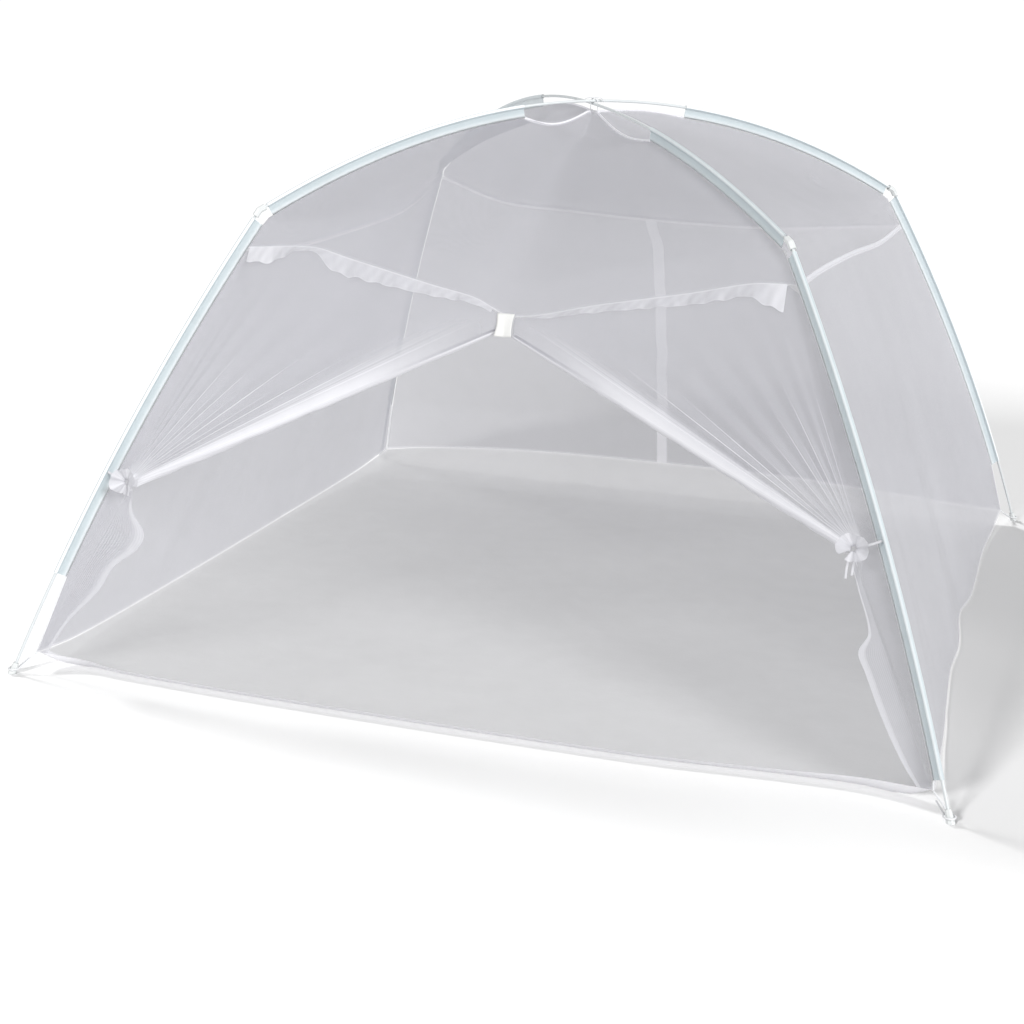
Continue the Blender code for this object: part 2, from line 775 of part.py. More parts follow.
def build_crown(hem, cord):
    """The roof's seams between sleeves and crossing, and the cord that hangs them from the rods."""
    for leg in LEGS:
        line = inner_line(leg)
        whole = leg_points(leg)
        crown = where(whole, lambda p, near=leg.sleeve_crown: reach_of(p) <= near)
        end = at_length(whole, crown)
        tangent = (at_length(whole, crown + 0.01) - end).normalized()
        start = where(line, lambda p, e=end, t=tangent: (p - e).dot(t) >= 2 * GAP)
        stop = lengths(line)[-1]
        stretch = cut(line, start, stop)
        stretch.append(stretch[-1] - outward_of(leg) * (HUB_REACH - 0.0055))
        tape(f"crown_tape_{leg.name}", stretch, [across_of(leg)] * len(stretch), CROWN_TAPE, 2 * WEB_HALF, hem)
    half, under, over = 0.0098, HUB_HEIGHT - 0.0085, POLE_TOP + 0.0060
    right_half = [
        Vector((0.0055, 0, under)), Vector((half, 0, under + 0.008)), Vector((half, -0.0005, POLE_TOP - 0.004)),
        Vector((0.0055, -0.002, over)), Vector((-0.005, -0.0026, over + 0.003)),
        Vector((-0.022, -0.005, over + 0.001)), Vector((-0.027, -0.006, over - 0.008)),
    ]
    left_half = [Vector((-p.x, -p.y, p.z)) for p in reversed(right_half)]
    line = left_half + right_half
    bm, _ = round_bar(ribbon_frames(line, [Vector((0, 1, 0))] * len(line)), 0.0015, 6)
    finish("apex_tie", bm, cord)


def build_corner_loops(cord):
    """Elastic cords from the sleeves' lower ends to the net's corners, and hooked round the foot caps."""
    for leg in LEGS:
        out, side = outward_of(leg), across_of(leg)
        down = list(reversed(split_at_seam(leg)[0]))
        whole = leg_points(leg)
        foot = at_length(whole, where(whole, lambda p, low=leg.sleeve_foot: p.z >= low))
        tangent = (foot - at_length(whole, 0.0)).normalized()
        start = where(down, lambda p, f=foot, t=tangent: (p - f).dot(t) <= -CORD_RADIUS)
        stretch = cut(down, start, lengths(down)[-1])
        low = 0.013
        axis = at_length(whole, low)
        centre = Vector((axis.x, axis.y, low))
        round_it = CAP_FOOT_RADIUS + CORD_RADIUS + 0.0008
        corner = corner_of(leg)
        turns = (150, 110, 70, 30, -10, -50, -90, -130, -165)
        hook = [
            centre + (out * math.cos(math.radians(t)) + side * math.sin(math.radians(t))) * round_it for t in turns
        ]
        back_end = corner.lerp(hook[-1], 0.40) - side * 0.004
        line = stretch + [corner.lerp(hook[0], 0.5) + side * 0.002] + hook + [back_end]
        normals = [UP * 0.3 + out] * len(stretch) + [UP] * (len(line) - len(stretch))
        bm, _ = round_bar(ribbon_frames(line, normals), CORD_RADIUS, 6)
        finish(f"corner_loop_{leg.name}", bm, cord)


# The doorway

ROLL_COLUMNS = 6
ROLL_TURN = math.radians(52)  # from one bend of the rolled edge to the next
RING_RADIUS = 0.020
THROAT_RADIUS = 0.0078
THROAT_OUT = 0.024  # from the sheet to the middle of the tie


class Neck(NamedTuple):
    """A row of the gathered cloth at the tie: distance out of the sheet, radius, and depth of its flutes."""

    out: float
    radius: float
    flute: float


NECK = (
    Neck(0.049, 0.027, 0.0045), Neck(0.030, THROAT_RADIUS, 0.0), Neck(0.018, THROAT_RADIUS, 0.0),
    Neck(0.005, RING_RADIUS, 0.0),
)


class Pleat(NamedTuple):
    """A row of the fan of pleats, by share of the way from the tie to the seam."""

    share: float
    depth: float  # of the pleats, to each side
    rolled: float  # how much of the free edge's roll has closed


FAN = (
    Pleat(0.06, 0.0005, 0.28), Pleat(0.12, 0.0016, 0.48), Pleat(0.20, 0.0034, 0.74), Pleat(0.32, 0.0050, 1.0),
    Pleat(0.46, 0.0050, 1.0), Pleat(0.60, 0.0036, 1.0), Pleat(0.80, 0.0016, 1.0), Pleat(1.00, 0.0, 1.0),
)


class Column(NamedTuple):
    """A line of cloth from the tie outwards: its far end, where it leaves the ring, its pleat and its sway."""

    end: Vector
    angle: float
    pleat: float
    sway: float


def door_columns(door):
    """The columns of a door's cloth, from the rolled edge round to the lower hem."""
    front = SIDES[0]
    seam = seam_of(front)
    low_first, _, low_second, _ = edge_lines(front)
    pole = low_first if door.side < 0 else low_second
    toward = RIGHT * -door.side
    leg = LEGS[door.leg]
    corner = pole[0] + UP * 0.004
    rolled = seam(door.edge_share) - KNOT_UP * EDGE_DROP
    columns = [Column(rolled, 29.0, 0.0, 0.0)]
    shares = door.bends
    count = len(shares) - 1
    for k, share in enumerate(shares):
        at = seam(share)
        end = at + (door.knot - at).normalized() * SEAM_GAP * 1.8
        columns.append(Column(end, 36.0 + 96.0 * k / count, (-1.0) ** k * (1 - (k / count) ** 3), 0.0))
    top, knot = leg.seam_height - 0.07, door.knot.z
    beside_pole = (
        (top, 138.0), (top - 0.5 * (top - knot), 147.0), (knot + 0.12, 160.0), (knot + 0.03, 188.0),
        (knot - 0.06, 215.0), (knot - 0.16, 232.0), (knot - 0.27, 247.0), (0.105, 260.0),
    )
    for height, angle in beside_pole:
        end = at_length(pole, where(pole, lambda p, h=height: p.z >= h))
        columns.append(Column(end, angle, 0.0, 0.0))
    for k in range(4):
        end = corner + toward * 0.011 * k
        columns.append(Column(end, 271.0 + 9.0 * k, 0.0, k / 3))
    return columns


def build_door(door, net):
    """A door half: pleats that run from the tie to the seam, a rolled free edge and a fluted end past the tie."""
    columns = door_columns(door)
    toward = RIGHT * -door.side

    def ring(angle, radius, out):
        turn = math.radians(angle)
        return door.knot + KNOT_OUT * out + (toward * math.cos(turn) + KNOT_UP * math.sin(turn)) * radius

    def flat_point(column, share):
        start = ring(column.angle, RING_RADIUS, NECK[-1].out)
        sway = smooth_value(door.hem, share, 1) * column.sway
        return start.lerp(column.end, share) + toward * sway

    def rolled_point(step, row):
        tangent_point = flat_point(columns[0], row.share)
        along_edge = (columns[0].end - door.knot).normalized()
        normal = (KNOT_OUT - along_edge * along_edge.dot(KNOT_OUT)).normalized()
        down = along_edge.cross(normal)
        if down.z > 0:
            down.negate()
        radius = door.roll_end + (door.roll_start - door.roll_end) * row.share
        turn = ROLL_TURN * step * row.rolled
        centre = tangent_point - normal * radius
        return centre + (normal * math.cos(turn) + down * math.sin(turn)) * radius * (1 - 0.035 * step)

    last = len(columns) - 1

    def place(u, v):
        column = round(u * (last + ROLL_COLUMNS)) - ROLL_COLUMNS
        row = round(v * (len(NECK) + len(FAN) - 1))
        if row < len(NECK):
            neck = NECK[row]
            angle = columns[column].angle if column >= 0 else columns[0].angle + column * 10.0
            flute = neck.flute * math.sin(1.5 * column)
            return ring(angle, neck.radius + flute, neck.out)
        pleat = FAN[row - len(NECK)]
        if column < 0:
            return rolled_point(-column, pleat)
        here = columns[column]
        return flat_point(here, pleat.share) + KNOT_OUT * pleat.depth * here.pleat

    sheet(f"door_{door.name}", place, even(last + ROLL_COLUMNS), even(len(NECK) + len(FAN) - 1), net)


def build_tie(door, hem):
    """The tape round the gathered cloth: a ring, a strap to the pole's sleeve and two free ends."""
    leg = LEGS[door.leg]
    toward = RIGHT * -door.side
    centre = door.knot + KNOT_OUT * THROAT_OUT
    frame = Matrix((toward, KNOT_UP, KNOT_OUT)).transposed().to_4x4()
    place = Matrix.Translation(centre) @ frame
    width, thick, sides = 0.006, 0.0016, 12
    inner = (THROAT_RADIUS + CLOTH / 2 + GAP + 0.0002) / math.cos(math.pi / sides)
    bm = bmesh.new()
    size = Matrix.Translation((inner + thick / 2, 0, 0)) @ Matrix.Rotation(math.pi / 2, 4, "X")
    size = size @ Matrix.Diagonal((thick, width, 1, 1))
    bmesh.ops.create_grid(bm, x_segments=1, y_segments=1, size=0.5, matrix=size)
    bmesh.ops.delete(bm, geom=list(bm.faces), context="FACES_ONLY")
    profile = list(bm.verts) + list(bm.edges)
    bmesh.ops.spin(
        bm, geom=profile, cent=(0, 0, 0), axis=(0, 0, 1), angle=math.tau, steps=sides, use_merge=True,
        use_duplicate=False,
    )
    bmesh.ops.remove_doubles(bm, verts=bm.verts, dist=1e-5)
    bmesh.ops.recalc_face_normals(bm, faces=bm.faces)
    bmesh.ops.transform(bm, matrix=place, verts=bm.verts)
    bmesh.ops.recalc_face_normals(bm, faces=bm.faces)

    def outer_face(direction):
        return max(bm.faces, key=lambda f: f.normal.dot(direction) + f.calc_center_median().dot(direction))

    whole = leg_points(leg)
    chord = 2 * (inner + thick) * math.sin(math.pi / sides)
    at = min((at_length(whole, 0.01 * k) for k in range(140)), key=lambda p: (p - centre).length)
    to_pole = (at - centre).normalized()
    level = (to_pole - KNOT_OUT * to_pole.dot(KNOT_OUT)).normalized()
    face = outer_face(level)
    root = face.calc_center_median()
    out = face.normal.copy()
    end = at - to_pole * (SLEEVE_RADIUS + GAP + 0.0004)
    knee = root + out * 0.004
    points = [root, knee, knee.lerp(end, 0.5), end]
    start = (chord, width)
    flat = (width, thick)
    places = ribbon_frames(points, [KNOT_OUT] * len(points))
    push(bm, [face], places, [start, flat, flat, flat], attached=True)
    for angle, length in ((-62.0, door.tail), (-98.0, door.tail * 0.8)):
        turn = math.radians(angle)
        aim = toward * math.cos(turn) + KNOT_UP * math.sin(turn)
        face = outer_face(aim)
        root = face.calc_center_median()
        knee = root + face.normal * 0.004
        middle = knee + (aim * 0.3 - KNOT_UP) * length * 0.5
        points = [root, knee, middle, knee + (aim * 0.3 - KNOT_UP * 2) * length * 0.5]
        places = ribbon_frames(points, [KNOT_OUT] * len(points))
        push(bm, [face], places, [start, flat, flat, flat], attached=True)
    finish(f"tie_{door.name}", bm, hem, smooth=False)


# How wide the ruffled strips over the doorway are, by share of the seam
VALANCE_LEFT = (
    (0.012, 0.052), (0.06, 0.046), (0.11, 0.020), (0.15, 0.026), (0.22, 0.046), (0.36, 0.028), (0.474, 0.012),
)
VALANCE_RIGHT = ((0.526, 0.010), (0.64, 0.020), (0.76, 0.028), (0.86, 0.034), (0.93, 0.030), (0.952, 0.060))


def build_valances(net):
    """Ruffled strips along the outer side of the doorway's seam."""
    seam = seam_of(SIDES[0])
    for name, rows, ruffles in (("left", VALANCE_LEFT, 7), ("right", VALANCE_RIGHT, 6)):
        first, last = rows[0][0], rows[-1][0]

        def place(u, v, rows=rows, first=first, last=last, ruffles=ruffles):
            share = first + (last - first) * u
            width = smooth_value(rows, share, 1)
            ripple = 0.006 * math.sin(math.tau * ruffles * u) + 0.003 * math.sin(math.tau * ruffles * 2.3 * u)
            out = 0.0017 + (0.011 + ripple) * v
            return seam(share) - KNOT_UP * (width * v - 0.002) + KNOT_OUT * out

        sheet(f"valance_{name}", place, even(24), even(2), net)


def build_tab(hem):
    """The white tab in the middle of the doorway, over the ends of the two rolled edges."""
    seam = seam_of(SIDES[0])
    middle = (DOORS[0].edge_share + DOORS[1].edge_share) / 2

    def place(u, v):
        low = (TAB_ABOVE - TAB_HEIGHT) * (1 - v) + TAB_ABOVE * v
        out = 0.0050 + 0.0060 * (1 - v) * abs(2 * u - 1)  # its lower corners lie over the rolled edges
        return seam(middle) + RIGHT * (u - 0.5) * TAB_WIDTH + KNOT_UP * low + KNOT_OUT * out

    sheet("centre_tab", place, even(2), even(3), hem, 0.002)


# Main


def main():
    """Builds every piece."""
    clear_scene()
    net = material("net", NET_COLOUR, 0.9)
    hem = material("hem_tape", HEM_COLOUR, 0.85)
    fabric = material("sleeve_fabric", SLEEVE_COLOUR, 0.8)
    pole = material("pole", POLE_COLOUR, 0.35)
    plastic = material("plastic", PLASTIC_COLOUR, 0.4)
    build_poles(pole, plastic)
    build_sleeves(fabric)
    build_panels(net)
    build_floor(net)
    build_seam_tapes(hem)
    build_crown(hem, hem)
    build_corner_loops(hem)
    for door in DOORS:
        build_door(door, net)
        build_tie(door, hem)
    build_valances(net)
    build_tab(hem)


main()
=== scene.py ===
"""A free-standing mosquito net canopy: net sheets hung in two crossed, arched poles, with the doorway tied open.

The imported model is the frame. Metres. X runs to the right along the doorway side, Y from the doorway to the back and
Z up, and the origin is on the ground under the crossing of the poles.
"""

import logging
import math
from bisect import bisect_right
from collections.abc import Callable, Sequence
from dataclasses import dataclass, field
from enum import Enum
from functools import cached_property

import bmesh
import bpy
from mathutils import Matrix, Vector


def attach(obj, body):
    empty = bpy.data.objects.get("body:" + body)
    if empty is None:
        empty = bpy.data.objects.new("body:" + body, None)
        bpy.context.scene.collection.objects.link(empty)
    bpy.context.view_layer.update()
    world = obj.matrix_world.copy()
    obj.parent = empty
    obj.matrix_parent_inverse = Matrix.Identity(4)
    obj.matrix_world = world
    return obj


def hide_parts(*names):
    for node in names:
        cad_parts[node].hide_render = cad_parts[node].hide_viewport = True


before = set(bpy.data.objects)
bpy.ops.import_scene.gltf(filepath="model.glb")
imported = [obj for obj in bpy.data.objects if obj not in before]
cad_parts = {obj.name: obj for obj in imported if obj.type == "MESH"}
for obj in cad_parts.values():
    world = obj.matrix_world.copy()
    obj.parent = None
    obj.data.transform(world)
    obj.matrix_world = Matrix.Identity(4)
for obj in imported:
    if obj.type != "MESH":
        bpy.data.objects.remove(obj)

log = logging.getLogger("canopy")

Curve = Callable[[float], Vector]
Surface = Callable[[float, float], Vector]
Mask = Callable[[float, float], float]
Table = Sequence[tuple[float, ...]]
Colour = tuple[float, float, float, float]

BODY = "root"
RIGHT = Vector((1.0, 0.0, 0.0))
UP = Vector((0.0, 0.0, 1.0))
KNOT_OUT = Vector((0.0, -0.932, 0.362))
KNOT_UP = Vector((0.0, 0.362, 0.932))
BAND_OUT = Vector((0.0, 0.932, 0.362))
SEWN_ON = 0.0017  # how far a tape or a strip lies off the seam that it is sewn on
HEM_ANGLE = 271.0  # round a tie, where the strands of a door's lower hem start


class Slot(Enum):
    """Material slot names that the new pieces carry in their Cloth; nothing here reads them. The plastic parts keep the
    slot of their CAD nodes.
    """

    NET = "net"
    TAPE = "hem_tape"
    SLEEVE = "sleeve_fabric"
    POLE = "pole"


# Curves


def read_table(rows: Table, share: float, column: int) -> float:
    """Reads a column of a table between its rows, on a smooth curve.

    Args:
        rows: the table, whose first column is the share.
        share: where to read it.
        column: which column to read.

    Returns:
        The value there.
    """
    last = len(rows) - 1
    k = min(max(sum(row[0] <= share for row in rows) - 1, 0), last - 1)
    here, there = rows[k], rows[k + 1]
    before, after = rows[max(k - 1, 0)], rows[min(k + 2, last)]
    span = there[0] - here[0]
    slope_here = (there[column] - before[column]) / (there[0] - before[0])
    slope_there = (after[column] - here[column]) / (after[0] - here[0])
    t = min(max((share - here[0]) / span, 0.0), 1.0)
    return (
        (2 * t**3 - 3 * t**2 + 1) * here[column]
        + (t**3 - 2 * t**2 + t) * span * slope_here
        + (3 * t**2 - 2 * t**3) * there[column]
        + (t**3 - t**2) * span * slope_there
    )


def ease(low: float, high: float, value: float) -> float:
    """Goes smoothly from 0 at low to 1 at high.

    Args:
        low: where it starts to rise, or to fall if high is lower.
        high: where it ends.
        value: where to read it.

    Returns:
        The share between 0 and 1.
    """
    t = min(max((value - low) / (high - low), 0.0), 1.0)
    return t * t * (3 - 2 * t)


def even(count: int) -> list[float]:
    """Gives count equal steps from 0 to 1."""
    return [k / count for k in range(count + 1)]


class Line:
    """A line of points that is read by length."""

    def __init__(self, points: Sequence[Vector]) -> None:
        """Measures the line.

        Args:
            points: its points, from one end to the other.
        """
        self.points = list(points)
        self.far = [0.0]
        for a, b in zip(self.points, self.points[1:]):
            self.far.append(self.far[-1] + (b - a).length)

    @property
    def length(self) -> float:
        """The whole length."""
        return self.far[-1]

    def at(self, distance: float) -> Vector:
        """Gives the point that far along.

        Args:
            distance: from the first point.

        Returns:
            The point, or an end where the distance is past it.
        """
        if distance <= 0:
            return self.points[0].copy()
        if distance >= self.length:
            return self.points[-1].copy()
        k = bisect_right(self.far, distance) - 1
        return self.points[k].lerp(self.points[k + 1], (distance - self.far[k]) / (self.far[k + 1] - self.far[k]))

    def share(self, t: float) -> Vector:
        """Gives the point at a share of the length."""
        return self.at(t * self.length)

    def cut(self, start: float, end: float) -> "Line":
        """Gives the stretch between two distances.

        Args:
            start: the first distance.
            end: the second one.

        Returns:
            The stretch as a line of its own.
        """
        inner = [p for p, d in zip(self.points, self.far) if start + 1e-5 < d < end - 1e-5]
        return Line([self.at(start), *inner, self.at(end)])

    def where(self, reached: Callable[[Vector], bool]) -> float:
        """Finds how far along a test first holds, by halving.

        Args:
            reached: the test of a point.

        Returns:
            The distance.
        """
        k = next(i for i, p in enumerate(self.points) if reached(p))
        if k == 0:
            return 0.0
        low, high = self.far[k - 1], self.far[k]
        for _ in range(24):
            middle = (low + high) / 2
            if reached(self.at(middle)):
                high = middle
            else:
                low = middle
        return high


def reach_of(point: Vector) -> float:
    """Gives the distance from the middle line of the canopy."""
    return math.hypot(point.x, point.y)


def arch_frames(points: Sequence[Vector], across: Vector) -> list[Matrix]:
    """Makes a frame for each point of an arch. Its Z runs along the line, its X to the inside of the canopy.

    Args:
        points: the arch's middle line.
        across: level, square to the arch.

    Returns:
        One matrix for each point.
    """
    made = []
    for k, point in enumerate(points):
        back = (point - points[k - 1]).normalized() if k else (points[1] - point).normalized()
        ahead = (points[k + 1] - point).normalized() if k < len(points) - 1 else back
        tangent = (back + ahead).normalized()
        level = (across - tangent * across.dot(tangent)).normalized()
        turn = Matrix((tangent.cross(level), -level, tangent)).transposed().to_4x4()
        made.append(Matrix.Translation(point) @ turn)
    return made


def tape_frames(points: Sequence[Vector], normals: Sequence[Vector]) -> list[Matrix]:
    """Makes frames for a tape or cord: Z along it, Y out of its face, X across its width.

    Args:
        points: its middle line.
        normals: which way its face looks at each point.

    Returns:
        One matrix for each point.
    """
    made = []
    for k, (point, normal) in enumerate(zip(points, normals)):
        tangent = (points[min(k + 1, len(points) - 1)] - points[max(k - 1, 0)]).normalized()
        face = (normal - tangent * normal.dot(tangent)).normalized()
        made.append(Matrix.Translation(point) @ Matrix((face.cross(tangent), face, tangent)).transposed().to_4x4())
    return made


def rounded(points: Sequence[Vector], steps: int) -> list[Vector]:
    """Draws a smooth line through a few points.

    Args:
        points: the points that it goes through.
        steps: into how many each stretch is divided.

    Returns:
        The finer line.
    """
    made = []
    for k in range(len(points) - 1):
        a, b = points[max(k - 1, 0)], points[k]
        c, d = points[k + 1], points[min(k + 2, len(points) - 1)]
        for n in range(steps):
            t = n / steps
            made.append(
                b + (c - a) * (0.5 * t) + (a * 2 - b * 5 + c * 4 - d) * (0.5 * t * t)
                + (b * 3 - a - c * 3 + d) * (0.5 * t**3)
            )
    return [*made, points[-1].copy()]


# Plan of the canopy, as in the part's source


@dataclass(frozen=True)
class Sizes:
    """The driving sizes of the part's source."""

    base_half: float = 1.2
    pole_top: float = 1.44
    gap: float = 0.0003
    cloth: float = 0.0012
    rod_radius: float = 0.004
    web_depth: float = 0.030
    web_half: float = 0.0012
    sleeve_radius: float = 0.0060
    elbow_notch: float = 0.026
    corner_x: float = 1.155
    corner_y: float = 1.150
    corner_height: float = 0.045
    cord_radius: float = 0.0021
    crown_sag: float = 0.028
    crown_sag_back: float = -0.007  # the part's source has the front's value, but the photo shows a tighter crown
    hub_height: float = 1.410
    hub_reach: float = 0.020
    cap_foot_radius: float = 0.0105
    throat_radius: float = 0.0078
    throat_out: float = 0.024
    ring_radius: float = 0.020


S = Sizes()


@dataclass(frozen=True)
class Leg:
    """A quarter of the frame of poles: one pole from its foot to the crossing."""

    name: str
    x_side: int
    y_side: int
    elbow_reach: float
    elbow_height: float
    bow: float
    crown: float
    drop: float
    seam_height: float
    sleeve_foot: float
    sleeve_crown: float

    @cached_property
    def outward(self) -> Vector:
        """Level, from the middle line to the foot."""
        return Vector((self.x_side, self.y_side, 0)).normalized()

    @cached_property
    def across(self) -> Vector:
        """Level, square to the arch."""
        return UP.cross(self.outward)

    @cached_property
    def lower(self) -> list[Vector]:
        """The lower pole's middle line, from the ground to the elbow.

        Returns:
            The line's points.
        """
        foot = self.outward * S.base_half * math.sqrt(2)
        chord = self.outward * self.elbow_reach + UP * self.elbow_height - foot
        out = chord.cross(self.across).normalized()
        if out.dot(self.outward) < 0:
            out.negate()
        return [foot + chord * t + out * self.bow * 4 * t * (1 - t) for t in even(30)]

    @cached_property
    def upper(self) -> list[Vector]:
        """The upper pole's middle line, from the elbow to the crossing.

        Returns:
            The line's points.
        """
        top = S.pole_top - self.drop
        points = []
        for t in even(40):
            height = top - (top - self.elbow_height) * (1 - t) ** 2 + self.crown * 4 * t * (1 - t)
            points.append(self.outward * self.elbow_reach * (1 - t) + UP * height)
        return points

    @cached_property
    def whole(self) -> Line:
        """The whole arch, from the ground to the crossing."""
        return Line(self.lower + self.upper[1:])

    @cached_property
    def kink(self) -> float:
        """How far along the arch its elbow is."""
        return Line(self.lower).length

    @cached_property
    def corner(self) -> Vector:
        """Where the net is held near the foot."""
        return Vector((self.x_side * S.corner_x, self.y_side * S.corner_y, S.corner_height))

    @cached_property
    def sleeve_ends(self) -> tuple[float, float]:
        """How far along the arch the sleeves start and end."""
        foot = self.whole.where(lambda p: p.z >= self.sleeve_foot)
        return foot, self.whole.where(lambda p: reach_of(p) <= self.sleeve_crown)

    @cached_property
    def inner(self) -> Line:
        """The line under the pole that the net hangs from, from its corner to the crossing.

        Returns:
            The line.
        """
        stretch = self.whole.cut(*self.sleeve_ends).points
        tips = [place @ Vector((S.web_depth, 0, 0)) for place in arch_frames(stretch, self.across)]
        line = [self.corner.lerp(tips[0], t / 10) for t in range(10)] + tips
        steps = 20
        sag = S.crown_sag if self.y_side < 0 else S.crown_sag_back
        for k in range(1, steps + 1):
            share = 1 - k / steps
            reach = S.hub_reach + (self.sleeve_crown - S.hub_reach) * share
            over = self.whole.at(self.whole.where(lambda p, r=reach: reach_of(p) <= r))
            at_hub = S.pole_top - self.drop - S.hub_height
            depth = at_hub * (1 - share) + S.web_depth * share + sag * math.sin(math.pi * share)
            line.append(over - UP * depth)
        return Line(line)

    @cached_property
    def halves(self) -> tuple[Line, Line]:
        """The inner line below the seam and above it."""
        at = self.inner.where(lambda p: p.z >= self.seam_height)
        return self.inner.cut(0.0, at), self.inner.cut(at, self.inner.length)

    def beside(self, points: Sequence[Vector], way: int, half: float) -> list[Vector]:
        """Moves a line off the arch's plane, past something of that half thickness.

        Args:
            points: the line.
            way: 1 or -1, to which side of the arch.
            half: half the thickness of what it clears.

        Returns:
            The moved points.
        """
        off = half + S.gap + S.cloth * 0.4 + 0.0002
        return [p + self.across * way * off for p in points]

    def edges(self, way: int) -> tuple[Line, Line]:
        """The lines that carry the cloth on one side of this arch, below the seam and above it.

        Args:
            way: 1 or -1, which side of the arch.

        Returns:
            The lower line and the upper line.
        """
        below, above = self.halves
        nearer = self.across * way * (S.cord_radius - S.web_half)
        low = [
            p - nearer if p.z > self.sleeve_foot + 0.03 else p
            for p in self.beside(below.points, way, S.cord_radius)
        ]
        return Line(low), Line(self.beside(above.points, way, S.web_half))


UNDER = 2 * S.rod_radius + 2 * S.gap
LEGS = (
    Leg("front_left", -1, -1, 0.982, 1.175, 0.034, 0.000, 0.0, 1.080, 0.260, 0.22),
    Leg("front_right", 1, -1, 0.980, 1.163, 0.045, -0.024, UNDER, 1.068, 0.085, 0.32),
    Leg("back_right", 1, 1, 1.065, 1.158, 0.037, 0.000, 0.0, 1.045, 0.225, 0.30),
    Leg("back_left", -1, 1, 1.085, 1.185, 0.045, 0.034, UNDER, 1.140, 0.240, 0.32),
)


@dataclass(frozen=True)
class Side:
    """One side of the canopy, from one leg anticlockwise to the next, seen from above.

    The tables of seam and hem give, by share, how far each hangs below and inside the straight line between its ends.
    """

    name: str
    first: int
    second: int
    outward: Vector
    seam_hang: Table
    hem_hang: Table

    @cached_property
    def lines(self) -> tuple[Line, Line, Line, Line]:
        """Below and above the seam, at the first leg and at the second.

        Returns:
            The lines, low and high at the first leg, then at the second.
        """
        low_first, high_first = LEGS[self.first].edges(1)
        low_second, high_second = LEGS[self.second].edges(-1)
        return low_first, high_first, low_second, high_second

    def hung(self, start: Vector, end: Vector, rows: Table, share: float) -> Vector:
        """Gives a point of an edge that hangs between two points.

        Args:
            start: the edge's first end.
            end: its other end.
            rows: its table of drop and inward reach.
            share: where along it.

        Returns:
            The point.
        """
        return start.lerp(end, share) - UP * read_table(rows, share, 1) - self.outward * read_table(rows, share, 2)

    def seam(self, share: float) -> Vector:
        """The seam at elbow height."""
        return self.hung(self.lines[0].points[-1], self.lines[2].points[-1], self.seam_hang, share)

    def hem(self, share: float) -> Vector:
        """The hem at the ground."""
        return self.hung(self.lines[0].points[0], self.lines[2].points[0], self.hem_hang, share)

    def stretched(self, bottom: Curve, top: Curve, first: Line, second: Line, u: float, v: float) -> Vector:
        """Gives a point of a sheet stretched between four edges.

        Args:
            bottom: the lower edge.
            top: the upper edge.
            first: the edge at the first leg.
            second: the edge at the second leg.
            u: share along the side.
            v: share up it.

        Returns:
            The point.
        """
        straight = bottom(u) * (1 - v) + top(u) * v + first.share(v) * (1 - u) + second.share(v) * u
        corners = (
            bottom(0) * (1 - u) * (1 - v) + bottom(1) * u * (1 - v) + top(0) * (1 - u) * v + top(1) * u * v
        )
        return straight - corners

    def wall(self, u: float, v: float) -> Vector:
        """The cloth below the seam. It bellies in a little.

        Args:
            u: along the hem.
            v: upwards.

        Returns:
            The point.
        """
        belly = 0.018 * math.sin(math.pi * u) * math.sin(math.pi * v)
        low_first, _, low_second, _ = self.lines
        return self.stretched(self.hem, self.seam, low_first, low_second, u, v) - self.outward * belly

    def roof(self, u: float, v: float) -> Vector:
        """The cloth above the seam, up to the crossing.

        Args:
            u: along the hem.
            v: upwards.

        Returns:
            The point.
        """
        _, high_first, _, high_second = self.lines
        tips = high_first.points[-1], high_second.points[-1]
        point = self.stretched(self.seam, lambda s: tips[0].lerp(tips[1], s), high_first, high_second, u, v)
        belly = 0.022 * math.sin(math.pi * u) * math.sin(math.pi * v)
        return point - (self.outward * 0.5 + UP * 0.85) * belly


def normal_of(place: Surface, u: float, v: float, outward: Vector) -> Vector:
    """Gives a surface's normal on its outer side.

    Args:
        place: the surface.
        u: share along it.
        v: share up it.
        outward: roughly the outer side.

    Returns:
        The unit normal.
    """
    step = 0.01
    across = place(min(u + step, 1.0), v) - place(max(u - step, 0.0), v)
    upward = place(u, min(v + step, 1.0)) - place(u, max(v - step, 0.0))
    normal = across.cross(upward).normalized()
    return normal if normal.dot(outward + UP * 0.3) > 0 else -normal


FRONT = Side(
    "front", 0, 1, Vector((0, -1, 0)),
    (
        (0.0, 0.0, 0.0), (0.13, -0.010, 0.0), (0.20, 0.012, 0.0), (0.36, 0.0645, 0.0), (0.44, 0.0885, 0.0),
        (0.51, 0.1275, 0.0), (0.67, 0.082, 0.0), (0.83, 0.0365, 0.0), (0.93, 0.0045, 0.0), (1.0, 0.0, 0.0),
    ),
    (
        (0.0, 0.0, 0.0), (0.05, 0.016, 0.030), (0.10, 0.024, 0.020), (0.30, 0.025, 0.006), (0.70, 0.025, 0.008),
        (0.85, 0.022, 0.035), (0.93, 0.014, 0.040), (1.0, 0.0, 0.0),
    ),
)
RIGHT_SIDE = Side(
    "right", 1, 2, Vector((1, 0, 0)),
    ((0.0, 0.0, 0.0), (0.20, -0.004, 0.006), (0.45, -0.003, 0.0), (0.78, 0.018, 0.008), (1.0, 0.0, 0.0)),
    (
        (0.0, 0.0, 0.0), (0.07, 0.030, 0.006), (0.18, 0.040, 0.014), (0.36, 0.041, 0.036), (0.46, 0.041, 0.032),
        (0.56, 0.041, 0.050), (0.64, 0.040, 0.032), (0.84, 0.038, 0.030), (0.95, 0.026, 0.012), (1.0, 0.0, 0.0),
    ),
)
